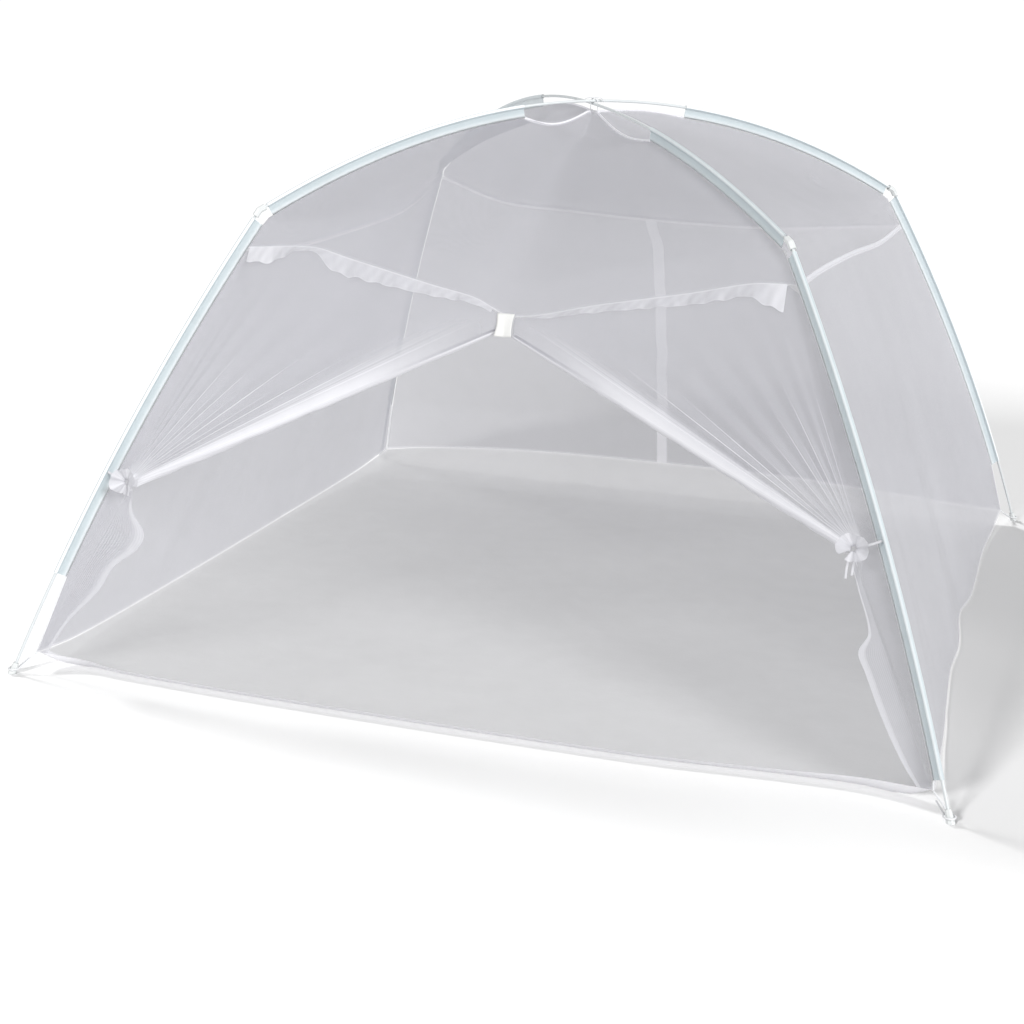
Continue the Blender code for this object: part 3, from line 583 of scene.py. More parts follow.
BACK = Side(
    "back", 2, 3, Vector((0, 1, 0)),
    (
        (0.0, 0.0, 0.0), (0.11, 0.020, 0.0), (0.27, 0.050, 0.004), (0.52, 0.066, 0.0), (0.72, 0.066, 0.0),
        (0.86, 0.060, 0.004), (1.0, 0.0, 0.0),
    ),
    (
        (0.0, 0.0, 0.0), (0.06, -0.004, 0.0), (0.30, -0.042, 0.0), (0.52, -0.052, 0.0), (0.76, -0.048, 0.0),
        (0.93, -0.022, 0.0), (1.0, 0.0, 0.0),
    ),
)
LEFT_SIDE = Side(
    "left", 3, 0, Vector((-1, 0, 0)),
    (
        (0.0, 0.0, 0.0), (0.12, 0.040, 0.0), (0.28, 0.064, 0.004), (0.55, 0.060, 0.0), (0.80, 0.042, 0.006),
        (0.93, 0.016, 0.0), (1.0, 0.0, 0.0),
    ),
    (
        (0.0, 0.0, 0.0), (0.12, 0.024, -0.010), (0.40, 0.036, -0.018), (0.75, 0.036, -0.016), (0.92, 0.024, -0.008),
        (1.0, 0.0, 0.0),
    ),
)
SIDES = (FRONT, RIGHT_SIDE, BACK, LEFT_SIDE)


# Node wiring


class Wiring:
    """Adds and joins nodes in a material or a node group."""

    def __init__(self, tree: bpy.types.NodeTree) -> None:
        """Takes the tree to work on.

        Args:
            tree: of a material or of a group.
        """
        self.tree = tree

    @cached_property
    def uv(self) -> bpy.types.NodeSocket:
        """The piece's UV map, in metres."""
        return self.add("ShaderNodeUVMap", uv_map="UVMap").outputs[0]

    @cached_property
    def place(self) -> bpy.types.NodeSocket:
        """Object coordinates."""
        return self.add("ShaderNodeTexCoord").outputs["Object"]

    @cached_property
    def lit(self) -> bpy.types.NodeSocket:
        """The attribute that marks doubled or gathered cloth."""
        return self.add("ShaderNodeAttribute", attribute_name="lit").outputs["Fac"]

    def feed(self, socket: bpy.types.NodeSocket, value: object) -> None:
        """Links a socket into an input, or sets the input's value.

        Args:
            socket: the input.
            value: a socket or a plain value.
        """
        if isinstance(value, bpy.types.NodeSocket):
            self.tree.links.new(value, socket)
        else:
            socket.default_value = value

    def add(self, kind: str, inputs: dict | None = None, **settings: object) -> bpy.types.Node:
        """Adds a node.

        Args:
            kind: its type.
            inputs: sockets or values by input name or number.
            **settings: its own properties.

        Returns:
            The node.
        """
        made = self.tree.nodes.new(kind)
        for key, value in settings.items():
            setattr(made, key, value)
        for key, value in (inputs or {}).items():
            self.feed(made.inputs[key], value)
        return made

    def maths(self, operation: str, a: object, b: object = 0.0, clamp: bool = False) -> bpy.types.NodeSocket:
        """Adds a Math node.

        Args:
            operation: its operation.
            a: the first value or socket.
            b: the second.
            clamp: whether the result stays between 0 and 1.

        Returns:
            Its output.
        """
        return self.add("ShaderNodeMath", {0: a, 1: b}, operation=operation, use_clamp=clamp).outputs[0]

    def ramp(
        self, value: object, low: object, high: object, to_low: object = 0.0, to_high: object = 1.0
    ) -> bpy.types.NodeSocket:
        """Adds a smooth Map Range.

        Args:
            value: what is mapped.
            low: where the rise starts.
            high: where it ends.
            to_low: the result at low.
            to_high: the result at high.

        Returns:
            Its output.
        """
        inputs = {0: value, 1: low, 2: high, 3: to_low, 4: to_high}
        return self.add("ShaderNodeMapRange", inputs, interpolation_type="SMOOTHSTEP").outputs[0]

    def mix(self, share: object, a: object, b: object) -> bpy.types.NodeSocket:
        """Mixes two colours, by the share of the second."""
        return self.add("ShaderNodeMix", {0: share, 6: a, 7: b}, data_type="RGBA").outputs[2]

    def scaled(self, colour: object, factor: object) -> bpy.types.NodeSocket:
        """Makes a colour lighter or darker by a factor."""
        return self.add("ShaderNodeVectorMath", {0: colour, "Scale": factor}, operation="SCALE").outputs[0]

    def waves(self, operation: str, uv: object, pitch: object) -> list[bpy.types.NodeSocket]:
        """Adds a wave along U and one along V.

        Args:
            operation: SINE or COSINE.
            uv: the map that they run on.
            pitch: their length.

        Returns:
            Both waves.
        """
        parts = self.add("ShaderNodeSeparateXYZ", {0: uv})
        turns = self.maths("DIVIDE", math.tau, pitch)
        return [self.maths(operation, self.maths("MULTIPLY", parts.outputs[k], turns)) for k in (0, 1)]

    def noise(self, vector: object, scale: object, detail: float, roughness: float = 0.5) -> bpy.types.NodeSocket:
        """Adds a noise texture.

        Args:
            vector: where it is read.
            scale: how many features a metre has.
            detail: its octaves.
            roughness: how strong the finer octaves are.

        Returns:
            Its value.
        """
        inputs = {"Vector": vector, "Scale": scale, "Detail": detail, "Roughness": roughness}
        return self.add("ShaderNodeTexNoise", inputs).outputs[0]

    def bump(self, height: object, strength: float, distance: float, **under: object) -> bpy.types.NodeSocket:
        """Adds a Bump node.

        Args:
            height: the relief.
            strength: of the effect.
            distance: what a height of one stands for.
            **under: the Normal that it is laid on, if any.

        Returns:
            Its normal.
        """
        inputs = {"Strength": strength, "Distance": distance, "Height": height, **under}
        return self.add("ShaderNodeBump", inputs).outputs[0]

    def group(self, tree: bpy.types.NodeTree, **inputs: object) -> bpy.types.Node:
        """Places a node group.

        Args:
            tree: the group.
            **inputs: values or sockets by input name.

        Returns:
            The group node.
        """
        return self.add("ShaderNodeGroup", inputs, node_tree=tree)


def new_group(
    name: str, inputs: dict[str, str], outputs: dict[str, str]
) -> tuple[bpy.types.NodeTree, Wiring, dict[str, bpy.types.NodeSocket], bpy.types.Node]:
    """Starts a shader node group.

    Args:
        name: the group's name.
        inputs: socket kinds by name.
        outputs: socket kinds by name.

    Returns:
        The group, its wiring, its inputs by name and its output node.
    """
    tree = bpy.data.node_groups.new(name, "ShaderNodeTree")
    for way, sockets in (("INPUT", inputs), ("OUTPUT", outputs)):
        for key, kind in sockets.items():
            tree.interface.new_socket(key, in_out=way, socket_type=kind)
    wiring = Wiring(tree)
    entry = wiring.add("NodeGroupInput")
    return tree, wiring, {key: entry.outputs[key] for key in inputs}, wiring.add("NodeGroupOutput")


FLOAT, VECTOR = "NodeSocketFloat", "NodeSocketVector"


class Effects:
    """The effects that several finishes share, each a node group that is built once."""

    @cached_property
    def mesh_weave(self) -> bpy.types.NodeTree:
        """Threads that cross at a pitch, on a UV map in metres: a mask of the threads and a height.

        Returns:
            The node group.
        """
        tree, w, ins, out = new_group("mesh weave", {"UV": VECTOR, "Pitch": FLOAT}, {"Threads": FLOAT, "Height": FLOAT})
        warp, weft = w.waves("COSINE", ins["UV"], ins["Pitch"])
        w.feed(out.inputs["Threads"], w.ramp(w.maths("MAXIMUM", warp, weft), 0.1, 0.9))
        w.feed(out.inputs["Height"], w.maths("ADD", w.maths("MULTIPLY", warp, 0.5), w.maths("MULTIPLY", weft, 0.5)))
        return tree

    @cached_property
    def plain_weave(self) -> bpy.types.NodeTree:
        """The over and under of a close plain weave, on a UV map in metres.

        Returns:
            The node group.
        """
        tree, w, ins, out = new_group("plain weave", {"UV": VECTOR, "Pitch": FLOAT}, {"Height": FLOAT})
        w.feed(out.inputs["Height"], w.maths("MULTIPLY", *w.waves("SINE", ins["UV"], ins["Pitch"])))
        return tree

    @cached_property
    def drift(self) -> bpy.types.NodeTree:
        """A slow change of tone, from 1 - Strength to 1 + Strength.

        Returns:
            The node group.
        """
        tree, w, ins, out = new_group("drift", {"Vector": VECTOR, "Size": FLOAT, "Strength": FLOAT}, {"Value": FLOAT})
        noise = w.noise(ins["Vector"], w.maths("DIVIDE", 1.0, ins["Size"]), 3.0, 0.55)
        centred = w.maths("MULTIPLY", w.maths("SUBTRACT", noise, 0.5), 2.0)
        value = w.add("ShaderNodeMath", {0: centred, 1: ins["Strength"], 2: 1.0}, operation="MULTIPLY_ADD")
        w.feed(out.inputs["Value"], value.outputs[0])
        return tree

    @cached_property
    def stitches(self) -> bpy.types.NodeTree:
        """A row of short stitches along V, at a distance along U.

        Returns:
            The node group.
        """
        sockets = {"UV": VECTOR, "At": FLOAT, "Pitch": FLOAT}
        tree, w, ins, out = new_group("stitches", sockets, {"Mask": FLOAT})
        parts = w.add("ShaderNodeSeparateXYZ", {0: ins["UV"]})
        off = w.maths("ABSOLUTE", w.maths("SUBTRACT", parts.outputs[0], ins["At"]))
        row = w.ramp(off, 0.0003, 0.0008, 1.0, 0.0)
        beat = w.maths("COSINE", w.maths("MULTIPLY", parts.outputs[1], w.maths("DIVIDE", math.tau, ins["Pitch"])))
        w.feed(out.inputs["Mask"], w.maths("MULTIPLY", row, w.ramp(beat, -0.5, 0.2)))
        return tree


EFFECTS = Effects()


def start_material(name: str) -> tuple[bpy.types.Material, Wiring, bpy.types.Node]:
    """Starts a material.

    Args:
        name: its name.

    Returns:
        The material, its wiring and its Principled shader.
    """
    made = bpy.data.materials.new(name)
    made.use_nodes = True
    return made, Wiring(made.node_tree), made.node_tree.nodes["Principled BSDF"]


@dataclass(frozen=True)
class NetFinish:
    """Fine mosquito mesh, seen through by its density. The attribute lit turns it into layered, gathered white net."""

    name: str
    colour: Colour = (0.50, 0.50, 0.535, 1.0)
    white: Colour = (0.86, 0.855, 0.885, 1.0)
    density: float = 0.55
    shade: float = 0.3  # how much of its density still counts for the light that passes through it
    pitch: float = 0.0024
    thread_height: float = 0.0003
    wrinkle_height: float = 0.006

    def material(self) -> bpy.types.Material:
        """Builds the material.

        Returns:
            The material.
        """
        made, w, shader = start_material(self.name)
        weave = w.group(EFFECTS.mesh_weave, UV=w.uv, Pitch=self.pitch)
        slow = w.group(EFFECTS.drift, Vector=w.place, Size=0.55, Strength=0.045).outputs[0]
        small = w.group(EFFECTS.drift, Vector=w.place, Size=0.07, Strength=0.03).outputs[0]
        thread = w.ramp(weave.outputs["Threads"], 0.0, 1.0, 0.94, 1.06)
        strength = w.maths("MULTIPLY", w.maths("MULTIPLY", slow, small), thread)
        w.feed(shader.inputs["Base Color"], w.scaled(w.mix(w.lit, self.colour, self.white), strength))
        open_net = w.maths("MULTIPLY", w.maths("MULTIPLY", thread, slow), self.density)
        closing = w.maths("MULTIPLY", w.ramp(w.lit, 0.0, 0.9), w.maths("SUBTRACT", 1.0, open_net))
        alpha = w.maths("ADD", open_net, closing, clamp=True)
        seen = w.add("ShaderNodeLightPath").outputs["Is Camera Ray"]
        blocked = w.maths("MAXIMUM", w.ramp(w.lit, 0.1, 0.8), self.shade)
        w.feed(shader.inputs["Alpha"], w.maths("MULTIPLY", alpha, w.ramp(seen, 0.0, 1.0, blocked, 1.0)))
        wrinkle = w.bump(w.maths("MULTIPLY", w.noise(w.place, 9.0, 4.0), self.wrinkle_height), 0.5, 1.0)
        w.feed(shader.inputs["Normal"], w.bump(weave.outputs["Height"], 0.25, self.thread_height, Normal=wrinkle))
        w.feed(shader.inputs["Roughness"], w.ramp(w.lit, 0.0, 1.0, 0.86, 0.72))
        shader.inputs["Specular IOR Level"].default_value = 0.2
        return made


@dataclass(frozen=True)
class TapeFinish:
    """Woven white tape with a stitched row near each edge, seen through a little."""

    name: str
    width: float
    colour: Colour = (0.83, 0.83, 0.87, 1.0)
    density: float = 0.9
    pitch: float = 0.0016
    stitch: float = 0.0035
    relief: float = 0.0004

    def material(self) -> bpy.types.Material:
        """Builds the material.

        Returns:
            The material.
        """
        made, w, shader = start_material(self.name)
        weave = w.group(EFFECTS.plain_weave, UV=w.uv, Pitch=self.pitch).outputs[0]
        inset = min(0.0022, self.width * 0.2)
        rows = [w.group(EFFECTS.stitches, UV=w.uv, At=at, Pitch=self.stitch) for at in (inset, self.width - inset)]
        stitch = w.maths("MAXIMUM", *(row.outputs[0] for row in rows))
        drift = w.group(EFFECTS.drift, Vector=w.place, Size=0.05, Strength=0.05).outputs[0]
        # The colour follows the weave's relief, darker where its threads dip: painted shade. The stitched rows are
        # darker too.
        threads = w.maths("SUBTRACT", w.ramp(weave, -1.0, 1.0, 0.93, 1.03), w.maths("MULTIPLY", stitch, 0.10))
        w.feed(shader.inputs["Base Color"], w.scaled(self.colour[:3], w.maths("MULTIPLY", drift, threads)))
        height = w.maths("SUBTRACT", w.maths("MULTIPLY", weave, 0.25), stitch)
        w.feed(shader.inputs["Normal"], w.bump(height, 0.4, self.relief))
        w.feed(shader.inputs["Roughness"], w.ramp(stitch, 0.0, 1.0, 0.82, 0.6))
        shader.inputs["Alpha"].default_value = self.density
        shader.inputs["Specular IOR Level"].default_value = 0.3
        return made


@dataclass(frozen=True)
class SleeveFinish:
    """Thin pale blue-grey sleeve cloth. The attribute lit marks the pocket over the rod and the sewn inner edge."""

    name: str = "sleeve cloth"
    colour: Colour = (0.56, 0.63, 0.66, 1.0)
    white: Colour = (0.88, 0.90, 0.91, 1.0)
    pitch: float = 0.0012
    pucker_height: float = 0.0016
    thread_height: float = 0.00006

    def material(self) -> bpy.types.Material:
        """Builds the material.

        Returns:
            The material.
        """
        made, w, shader = start_material(self.name)
        weave = w.group(EFFECTS.plain_weave, UV=w.uv, Pitch=self.pitch).outputs[0]
        tone = w.group(EFFECTS.drift, Vector=w.place, Size=0.06, Strength=0.06).outputs[0]
        # The weave's relief darkens the colour in its dips as painted shade. The tone drift on top of it is random.
        strength = w.maths("MULTIPLY", tone, w.ramp(weave, -1.0, 1.0, 0.96, 1.03))
        w.feed(shader.inputs["Base Color"], w.scaled(w.mix(w.lit, self.colour, self.white), strength))
        pucker = w.maths("MULTIPLY", w.noise(w.place, 45.0, 2.0), self.pucker_height)
        height = w.maths("ADD", pucker, w.maths("MULTIPLY", weave, self.thread_height))
        w.feed(shader.inputs["Normal"], w.bump(height, 0.6, 1.0))
        w.feed(shader.inputs["Roughness"], w.ramp(tone, 0.94, 1.06, 0.52, 0.62))
        w.feed(shader.inputs["Alpha"], w.ramp(w.lit, 0.0, 1.0, 0.84, 1.0))
        return made


@dataclass(frozen=True)
class HardFinish:
    """Moulded plastic or a glass-fibre rod: a smooth white with faint runs, scuffs and a little soiling."""

    name: str
    colour: Colour
    scuffed: Colour
    grain: tuple[float, float, float]
    roughness: tuple[float, float]
    streak_height: float = 0.00012
    scuff_depth: float = -0.00005

    def material(self) -> bpy.types.Material:
        """Builds the material.

        Returns:
            The material.
        """
        made, w, shader = start_material(self.name)
        run = w.add("ShaderNodeMapping", {"Vector": w.place, "Scale": self.grain}).outputs[0]
        streak = w.noise(run, 30.0, 4.0, 0.6)
        scuff = w.noise(w.place, 160.0, 5.0, 0.7)
        worn = w.maths("MULTIPLY", w.ramp(scuff, 0.55, 0.75), w.ramp(streak, 0.35, 0.65))
        w.feed(shader.inputs["Base Color"], w.mix(w.maths("MULTIPLY", worn, 0.7), self.colour, self.scuffed))
        w.feed(shader.inputs["Roughness"], w.ramp(streak, 0.3, 0.7, *self.roughness))
        runs, scuffs = w.maths("MULTIPLY", streak, self.streak_height), w.maths("MULTIPLY", worn, self.scuff_depth)
        w.feed(shader.inputs["Normal"], w.bump(w.maths("ADD", runs, scuffs), 0.5, 1.0))
        return made


@dataclass(frozen=True)
class CordFinish:
    """Braided white elastic: slanting strands round the cord, on its UV map in metres."""

    name: str = "elastic cord"
    colour: Colour = (0.84, 0.85, 0.87, 1.0)
    strand: float = 0.0032
    relief: float = 0.0004

    def material(self) -> bpy.types.Material:
        """Builds the material.

        Returns:
            The material.
        """
        made, w, shader = start_material(self.name)
        parts = w.add("ShaderNodeSeparateXYZ", {0: w.uv})
        slants = [w.maths(way, parts.outputs[0], parts.outputs[1]) for way in ("ADD", "SUBTRACT")]
        turns = math.tau / self.strand
        braid = w.maths("MULTIPLY", *(w.maths("SINE", w.maths("MULTIPLY", slant, turns)) for slant in slants))
        # The colour follows the braid's relief: painted shade, darker in the grooves between the strands.
        w.feed(shader.inputs["Base Color"], w.scaled(self.colour[:3], w.ramp(braid, -1.0, 1.0, 0.82, 1.04)))
        w.feed(shader.inputs["Normal"], w.bump(braid, 0.6, self.relief))
        w.feed(shader.inputs["Roughness"], w.ramp(braid, -1.0, 1.0, 0.85, 0.68))
        return made


# Making pieces


def new_object(name: str, bm: bmesh.types.BMesh, material: bpy.types.Material) -> bpy.types.Object:
    """Turns a finished BMesh into an object of the scene, and frees it.

    Args:
        name: of the object and of its mesh.
        bm: the mesh in the making.
        material: its material.

    Returns:
        The object.
    """
    mesh = bpy.data.meshes.new(name)
    bm.to_mesh(mesh)
    bm.free()
    mesh.materials.append(material)
    made = bpy.data.objects.new(name, mesh)
    bpy.context.scene.collection.objects.link(made)
    return made


@dataclass
class Cloth:
    """A piece of cloth, tape or cord: a fine grid laid on a surface, with a UV map in metres and the mask lit."""

    name: str
    place: Surface
    columns: Sequence[float]
    rows: Sequence[float]
    finish: bpy.types.Material
    slot: Slot
    replaces: Sequence[str] = ()
    lit: Mask = field(default=lambda u, v: 0.0)
    outward: Vector | None = None
    closed: bool = False
    thickness: float = 0.0
    flat: tuple[float, float] = (0.0, 0.0)

    def build(self) -> bpy.types.Object:
        """Builds the piece, puts it on the body and measures it.

        Returns:
            The piece.
        """
        bm = bmesh.new()
        wide, high = len(self.columns) - 1, len(self.rows) - 1
        sheet_uv = bm.loops.layers.uv.new("UVMap")
        bmesh.ops.create_grid(bm, x_segments=wide, y_segments=high, size=0.5)
        lit = bm.verts.layers.float.new("lit")
        spots = {}
        for vert in bm.verts:
            spots[vert] = round((vert.co.x + 0.5) * wide), round((vert.co.y + 0.5) * high)
        grid = {}
        for vert, (column, row) in spots.items():
            u, v = self.columns[column], self.rows[row]
            vert.co = self.place(u, v)
            vert[lit] = min(max(self.lit(u, v), 0.0), 1.0)
            grid[column, row] = vert.co.copy()
        across = [Line([grid[c, r] for c in range(wide + 1)]) for r in range(high + 1)]
        upward = [Line([grid[c, r] for r in range(high + 1)]) for c in range(wide + 1)]
        widest, longest = max(across, key=lambda p: p.length), max(upward, key=lambda p: p.length)
        self.flat = widest.length, longest.length
        for face in bm.faces:
            for loop in face.loops:
                column, row = spots[loop.vert]
                loop[sheet_uv].uv = widest.far[column], longest.far[row]
        if self.closed:
            bmesh.ops.remove_doubles(bm, verts=bm.verts, dist=1e-6)
            bmesh.ops.recalc_face_normals(bm, faces=bm.faces)
        elif self.outward is not None:
            bm.normal_update()
            if sum(face.normal.dot(self.outward) * face.calc_area() for face in bm.faces) < 0:
                bmesh.ops.reverse_faces(bm, faces=bm.faces)
        made = new_object(self.name, bm, self.finish)
        made.data.shade_smooth()
        if self.thickness:
            thick = made.modifiers.new("Thickness", "SOLIDIFY")
            thick.thickness = self.thickness
            thick.offset = 0.0
        settle(made, self.replaces)
        return made


def settle(piece: bpy.types.Object, replaced: Sequence[str]) -> None:
    """Puts a piece on the body and in place of CAD nodes.

    Args:
        piece: the new piece.
        replaced: the nodes that it stands for.
    """
    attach(piece, BODY)
    if replaced:
        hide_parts(*replaced)
    log.info("%s: %d faces", piece.name, len(piece.data.polygons))


WEDGE_SHARE = 0.6  # how much of its width times its length a wedge of door net or a ruffled strip fills


def declare(
    cloth: Cloth, piece: bpy.types.Object, held: str
) -> None:
    """Logs a piece's flat size and area, as measured when it was laid.

    Args:
        cloth: how it was laid.
        piece: the built piece.
        held: how it is held.
    """
    area = sum(face.area for face in piece.data.polygons)
    width, length = cloth.flat
    if held == "gathered":  # its rows fan out from a tie, so the cut is a wedge and not as wide as its longest row
        width = area / length / WEDGE_SHARE
    log.info("%s: flat %.3f x %.3f m, area %.3f m2", piece.name, width, length, area)


# Sub-assemblies


@dataclass
class PoleFrame:
    """The rods, elbows and foot caps of the two crossed arches."""

    sides: int = 16
    socket: float = 0.0063  # from an elbow's middle to the rod's end in it
    cap_socket: float = 0.0103  # from the ground to the rod's end in its foot cap, along the pole
    inset: float = 0.0001

    def rod(self, name: str, line: Line, leg: Leg, finish: bpy.types.Material) -> None:
        """Sweeps a round rod along a line and closes its ends.

        Args:
            name: of the piece and of the CAD node that it replaces.
            line: its middle line.
            leg: whose arch it lies in.
            finish: its material.
        """
        places = arch_frames(line.points, leg.across)
        bm = bmesh.new()
        radius = S.rod_radius - self.inset
        bmesh.ops.create_circle(bm, cap_ends=False, radius=radius, segments=self.sides, matrix=places[0])
        ring = list(bm.edges)
        bmesh.ops.holes_fill(bm, edges=ring, sides=self.sides)
        for before, here in zip(places, places[1:]):
            made = bmesh.ops.extrude_edge_only(bm, edges=ring)["geom"]
            moved = [part for part in made if isinstance(part, bmesh.types.BMVert)]
            bmesh.ops.transform(bm, matrix=here @ before.inverted(), verts=moved)
            ring = [part for part in made if isinstance(part, bmesh.types.BMEdge)]
        ring = [edge for edge in ring if edge.is_boundary]
        bmesh.ops.holes_fill(bm, edges=ring, sides=self.sides)
        bmesh.ops.recalc_face_normals(bm, faces=bm.faces)
        made = new_object(f"{name}_rod", bm, finish)
        made.data.shade_smooth()
        made.data.set_sharp_from_angle(angle=math.radians(50))
        settle(made, [name])

    def build(self) -> None:
        """Builds the rods and dresses the plastic parts."""
        glass_fibre = HardFinish(
            "glass fibre rod", (0.62, 0.65, 0.66, 1.0), (0.48, 0.50, 0.51, 1.0), (1.0, 1.0, 0.05), (0.28, 0.42)
        ).material()
        moulded = HardFinish(
            "moulded plastic", (0.66, 0.68, 0.68, 1.0), (0.52, 0.53, 0.52, 1.0), (1.0, 1.0, 1.0), (0.36, 0.52)
        ).material()
        for name, first, second in (("a", LEGS[0], LEGS[2]), ("b", LEGS[1], LEGS[3])):
            line = Line(first.upper + list(reversed(second.upper))[1:])
            self.rod(f"pole_upper_{name}", line.cut(self.socket, line.length - self.socket), first, glass_fibre)
        for leg in LEGS:
            line = Line(leg.lower)
            stretch = line.cut(self.cap_socket, line.length - self.socket)
            self.rod(f"pole_lower_{leg.name}", stretch, leg, glass_fibre)
            for part in ("elbow", "foot_cap"):
                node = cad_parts[f"{part}_{leg.name}"]
                node.data.materials.clear()
                node.data.materials.append(moulded)


@dataclass
class Sleeves:
    """Sleeves sewn from one folded strip: a pocket round the rod, and a flat web down to the net's seam."""

    pucker: float = 0.0006
    step: float = 0.012  # between its rows, along the pole
    pieces: dict[str, bpy.types.Object] = field(default_factory=dict)

    def section(self, share: float) -> tuple[float, float]:
        """Gives a point of the section, in the arch's own X and Y.

        Args:
            share: round the section, from the web's tip and back to it.

        Returns:
            The point, in metres.
        """
        half, neck = S.web_half * 0.75, 0.30
        mouth, full = 0.0075, 1.3  # where the pocket opens, and the turn at which it is fully round
        side = -1.0 if share < 0.5 else 1.0
        t = 1 - abs(share - 0.5) * 2  # 0 at the web's tip and 1 behind the rod
        if t < neck:
            x = S.web_depth + (mouth - S.web_depth) * (t / neck)
            return x, side * half * ease(0.0, 0.08, t)
        turn = math.pi * (t - neck) / (1 - neck)
        radius = S.sleeve_radius - 0.0002
        flare = 0.0015 * (1 - ease(0.0, 0.9, turn))
        opened = ease(0.0, full, turn)
        swell = math.sin(turn) if turn > full else opened * math.sin(full) + (1 - opened) * 0.15
        return (radius + flare) * math.cos(turn), side * (half + (radius - half) * opened) * swell

    def one(self, name: str, line: Line, leg: Leg, finish: bpy.types.Material) -> None:
        """Builds one sleeve. The back left one is seen through two layers of net, so it is evenly pale.

        Args:
            name: of the CAD node that it replaces.
            line: the stretch of pole in it.
            leg: its arch.
            finish: its material.
        """
        count = max(round(line.length / self.step), 4)
        points = [line.share(t) for t in even(count)]
        places = arch_frames(points, leg.across)
        around = [0.0, 0.05, 0.10, 0.15] + [0.15 + 0.70 * k / 16 for k in range(1, 17)] + [0.90, 0.95, 1.0]

        def place(u: float, v: float) -> Vector:
            """A point of the sleeve.

            Args:
                u: across.
                v: along.

            Returns:
                The point.
            """
            k = round(v * count)
            x, y = self.section(u)
            far = v * line.length
            ripple = self.pucker * (math.sin(far * 260.0) + 0.6 * math.sin(far * 431.0 + 1.0))
            web = ease(0.010, 0.024, x)
            tip = ease(0.027, 0.030, x)
            return places[k] @ Vector((x - abs(ripple) * web * 0.6, y + ripple * web * (1 - tip), 0.0))

        def lit(u: float, v: float) -> float:
            """White over the rod and along the sewn edge.

            Args:
                u: across.
                v: along.

            Returns:
                How white the cloth is there.
            """
            x, _ = self.section(u)
            if leg.name == "back_left":
                return 0.45
            seen = 0.5 if leg.name == "front_right" else 1.0
            return seen * max(ease(0.0020, -0.0012, x) * ease(-0.0062, -0.0040, x), 0.75 * ease(0.0205, 0.0245, x))

        cloth = Cloth(name + "_cloth", place, around, even(count), finish, Slot.SLEEVE, [name], lit, closed=True)
        self.pieces[name] = cloth.build()

    def build(self) -> None:
        """Builds an upper and a lower sleeve on each arch."""
        finish = SleeveFinish().material()
        for leg in LEGS:
            foot, crown = leg.sleeve_ends
            self.one(f"sleeve_lower_{leg.name}", leg.whole.cut(foot, leg.kink - S.elbow_notch), leg, finish)
            self.one(f"sleeve_upper_{leg.name}", leg.whole.cut(leg.kink + S.elbow_notch, crown), leg, finish)


def edge_steps(
    length: float, count: int, near: Sequence[float] = (0.0, 0.004, 0.008, 0.012, 0.020, 0.035)
) -> list[float]:
    """Gives shares that lie close together at both ends and evenly between.

    Args:
        length: the whole length in metres.
        count: how many even steps lie between.
        near: the distances from an end, in metres.

    Returns:
        The shares, from 0 to 1.
    """
    close = [n / length for n in near]
    middle = [close[-1] + (1 - 2 * close[-1]) * k / count for k in range(1, count)]
    return close + middle + [1 - c for c in reversed(close)]


@dataclass(frozen=True)
class Fold:
    """A soft ridge or trough across a sheet, by shares of its width and height."""

    start: tuple[float, float]
    end: tuple[float, float]
    width: float
    depth: float  # outward in metres

    def height(self, u: float, v: float) -> float:
        """Gives how far the fold lifts a point of the sheet.

        Args:
            u: along the hem.
            v: upwards.

        Returns:
            The lift.
        """
        run = Vector((self.end[0] - self.start[0], self.end[1] - self.start[1]))
        off = Vector((u - self.start[0], v - self.start[1]))
        share = off.dot(run) / run.length_squared
        if not -0.3 < share < 1.3:
            return 0.0
        away = (off - run * min(max(share, 0.0), 1.0)).length / self.width
        fade = ease(-0.1, 0.2, share) * ease(1.1, 0.7, share)
        return self.depth * fade * math.exp(-away * away * 2.5)


def soft_band(distance: float, width: float) -> float:
    """Gives 1 within a width of an edge, and falls off just past it."""
    return ease(width * 1.35, width * 0.85, distance)


def back_width(up: float) -> float:
    """Gives the back wall's width at a share of its height, from its hem to the 1.52 m of its seam."""
    return 2 * S.corner_x * (1 - up) + 1.52 * up


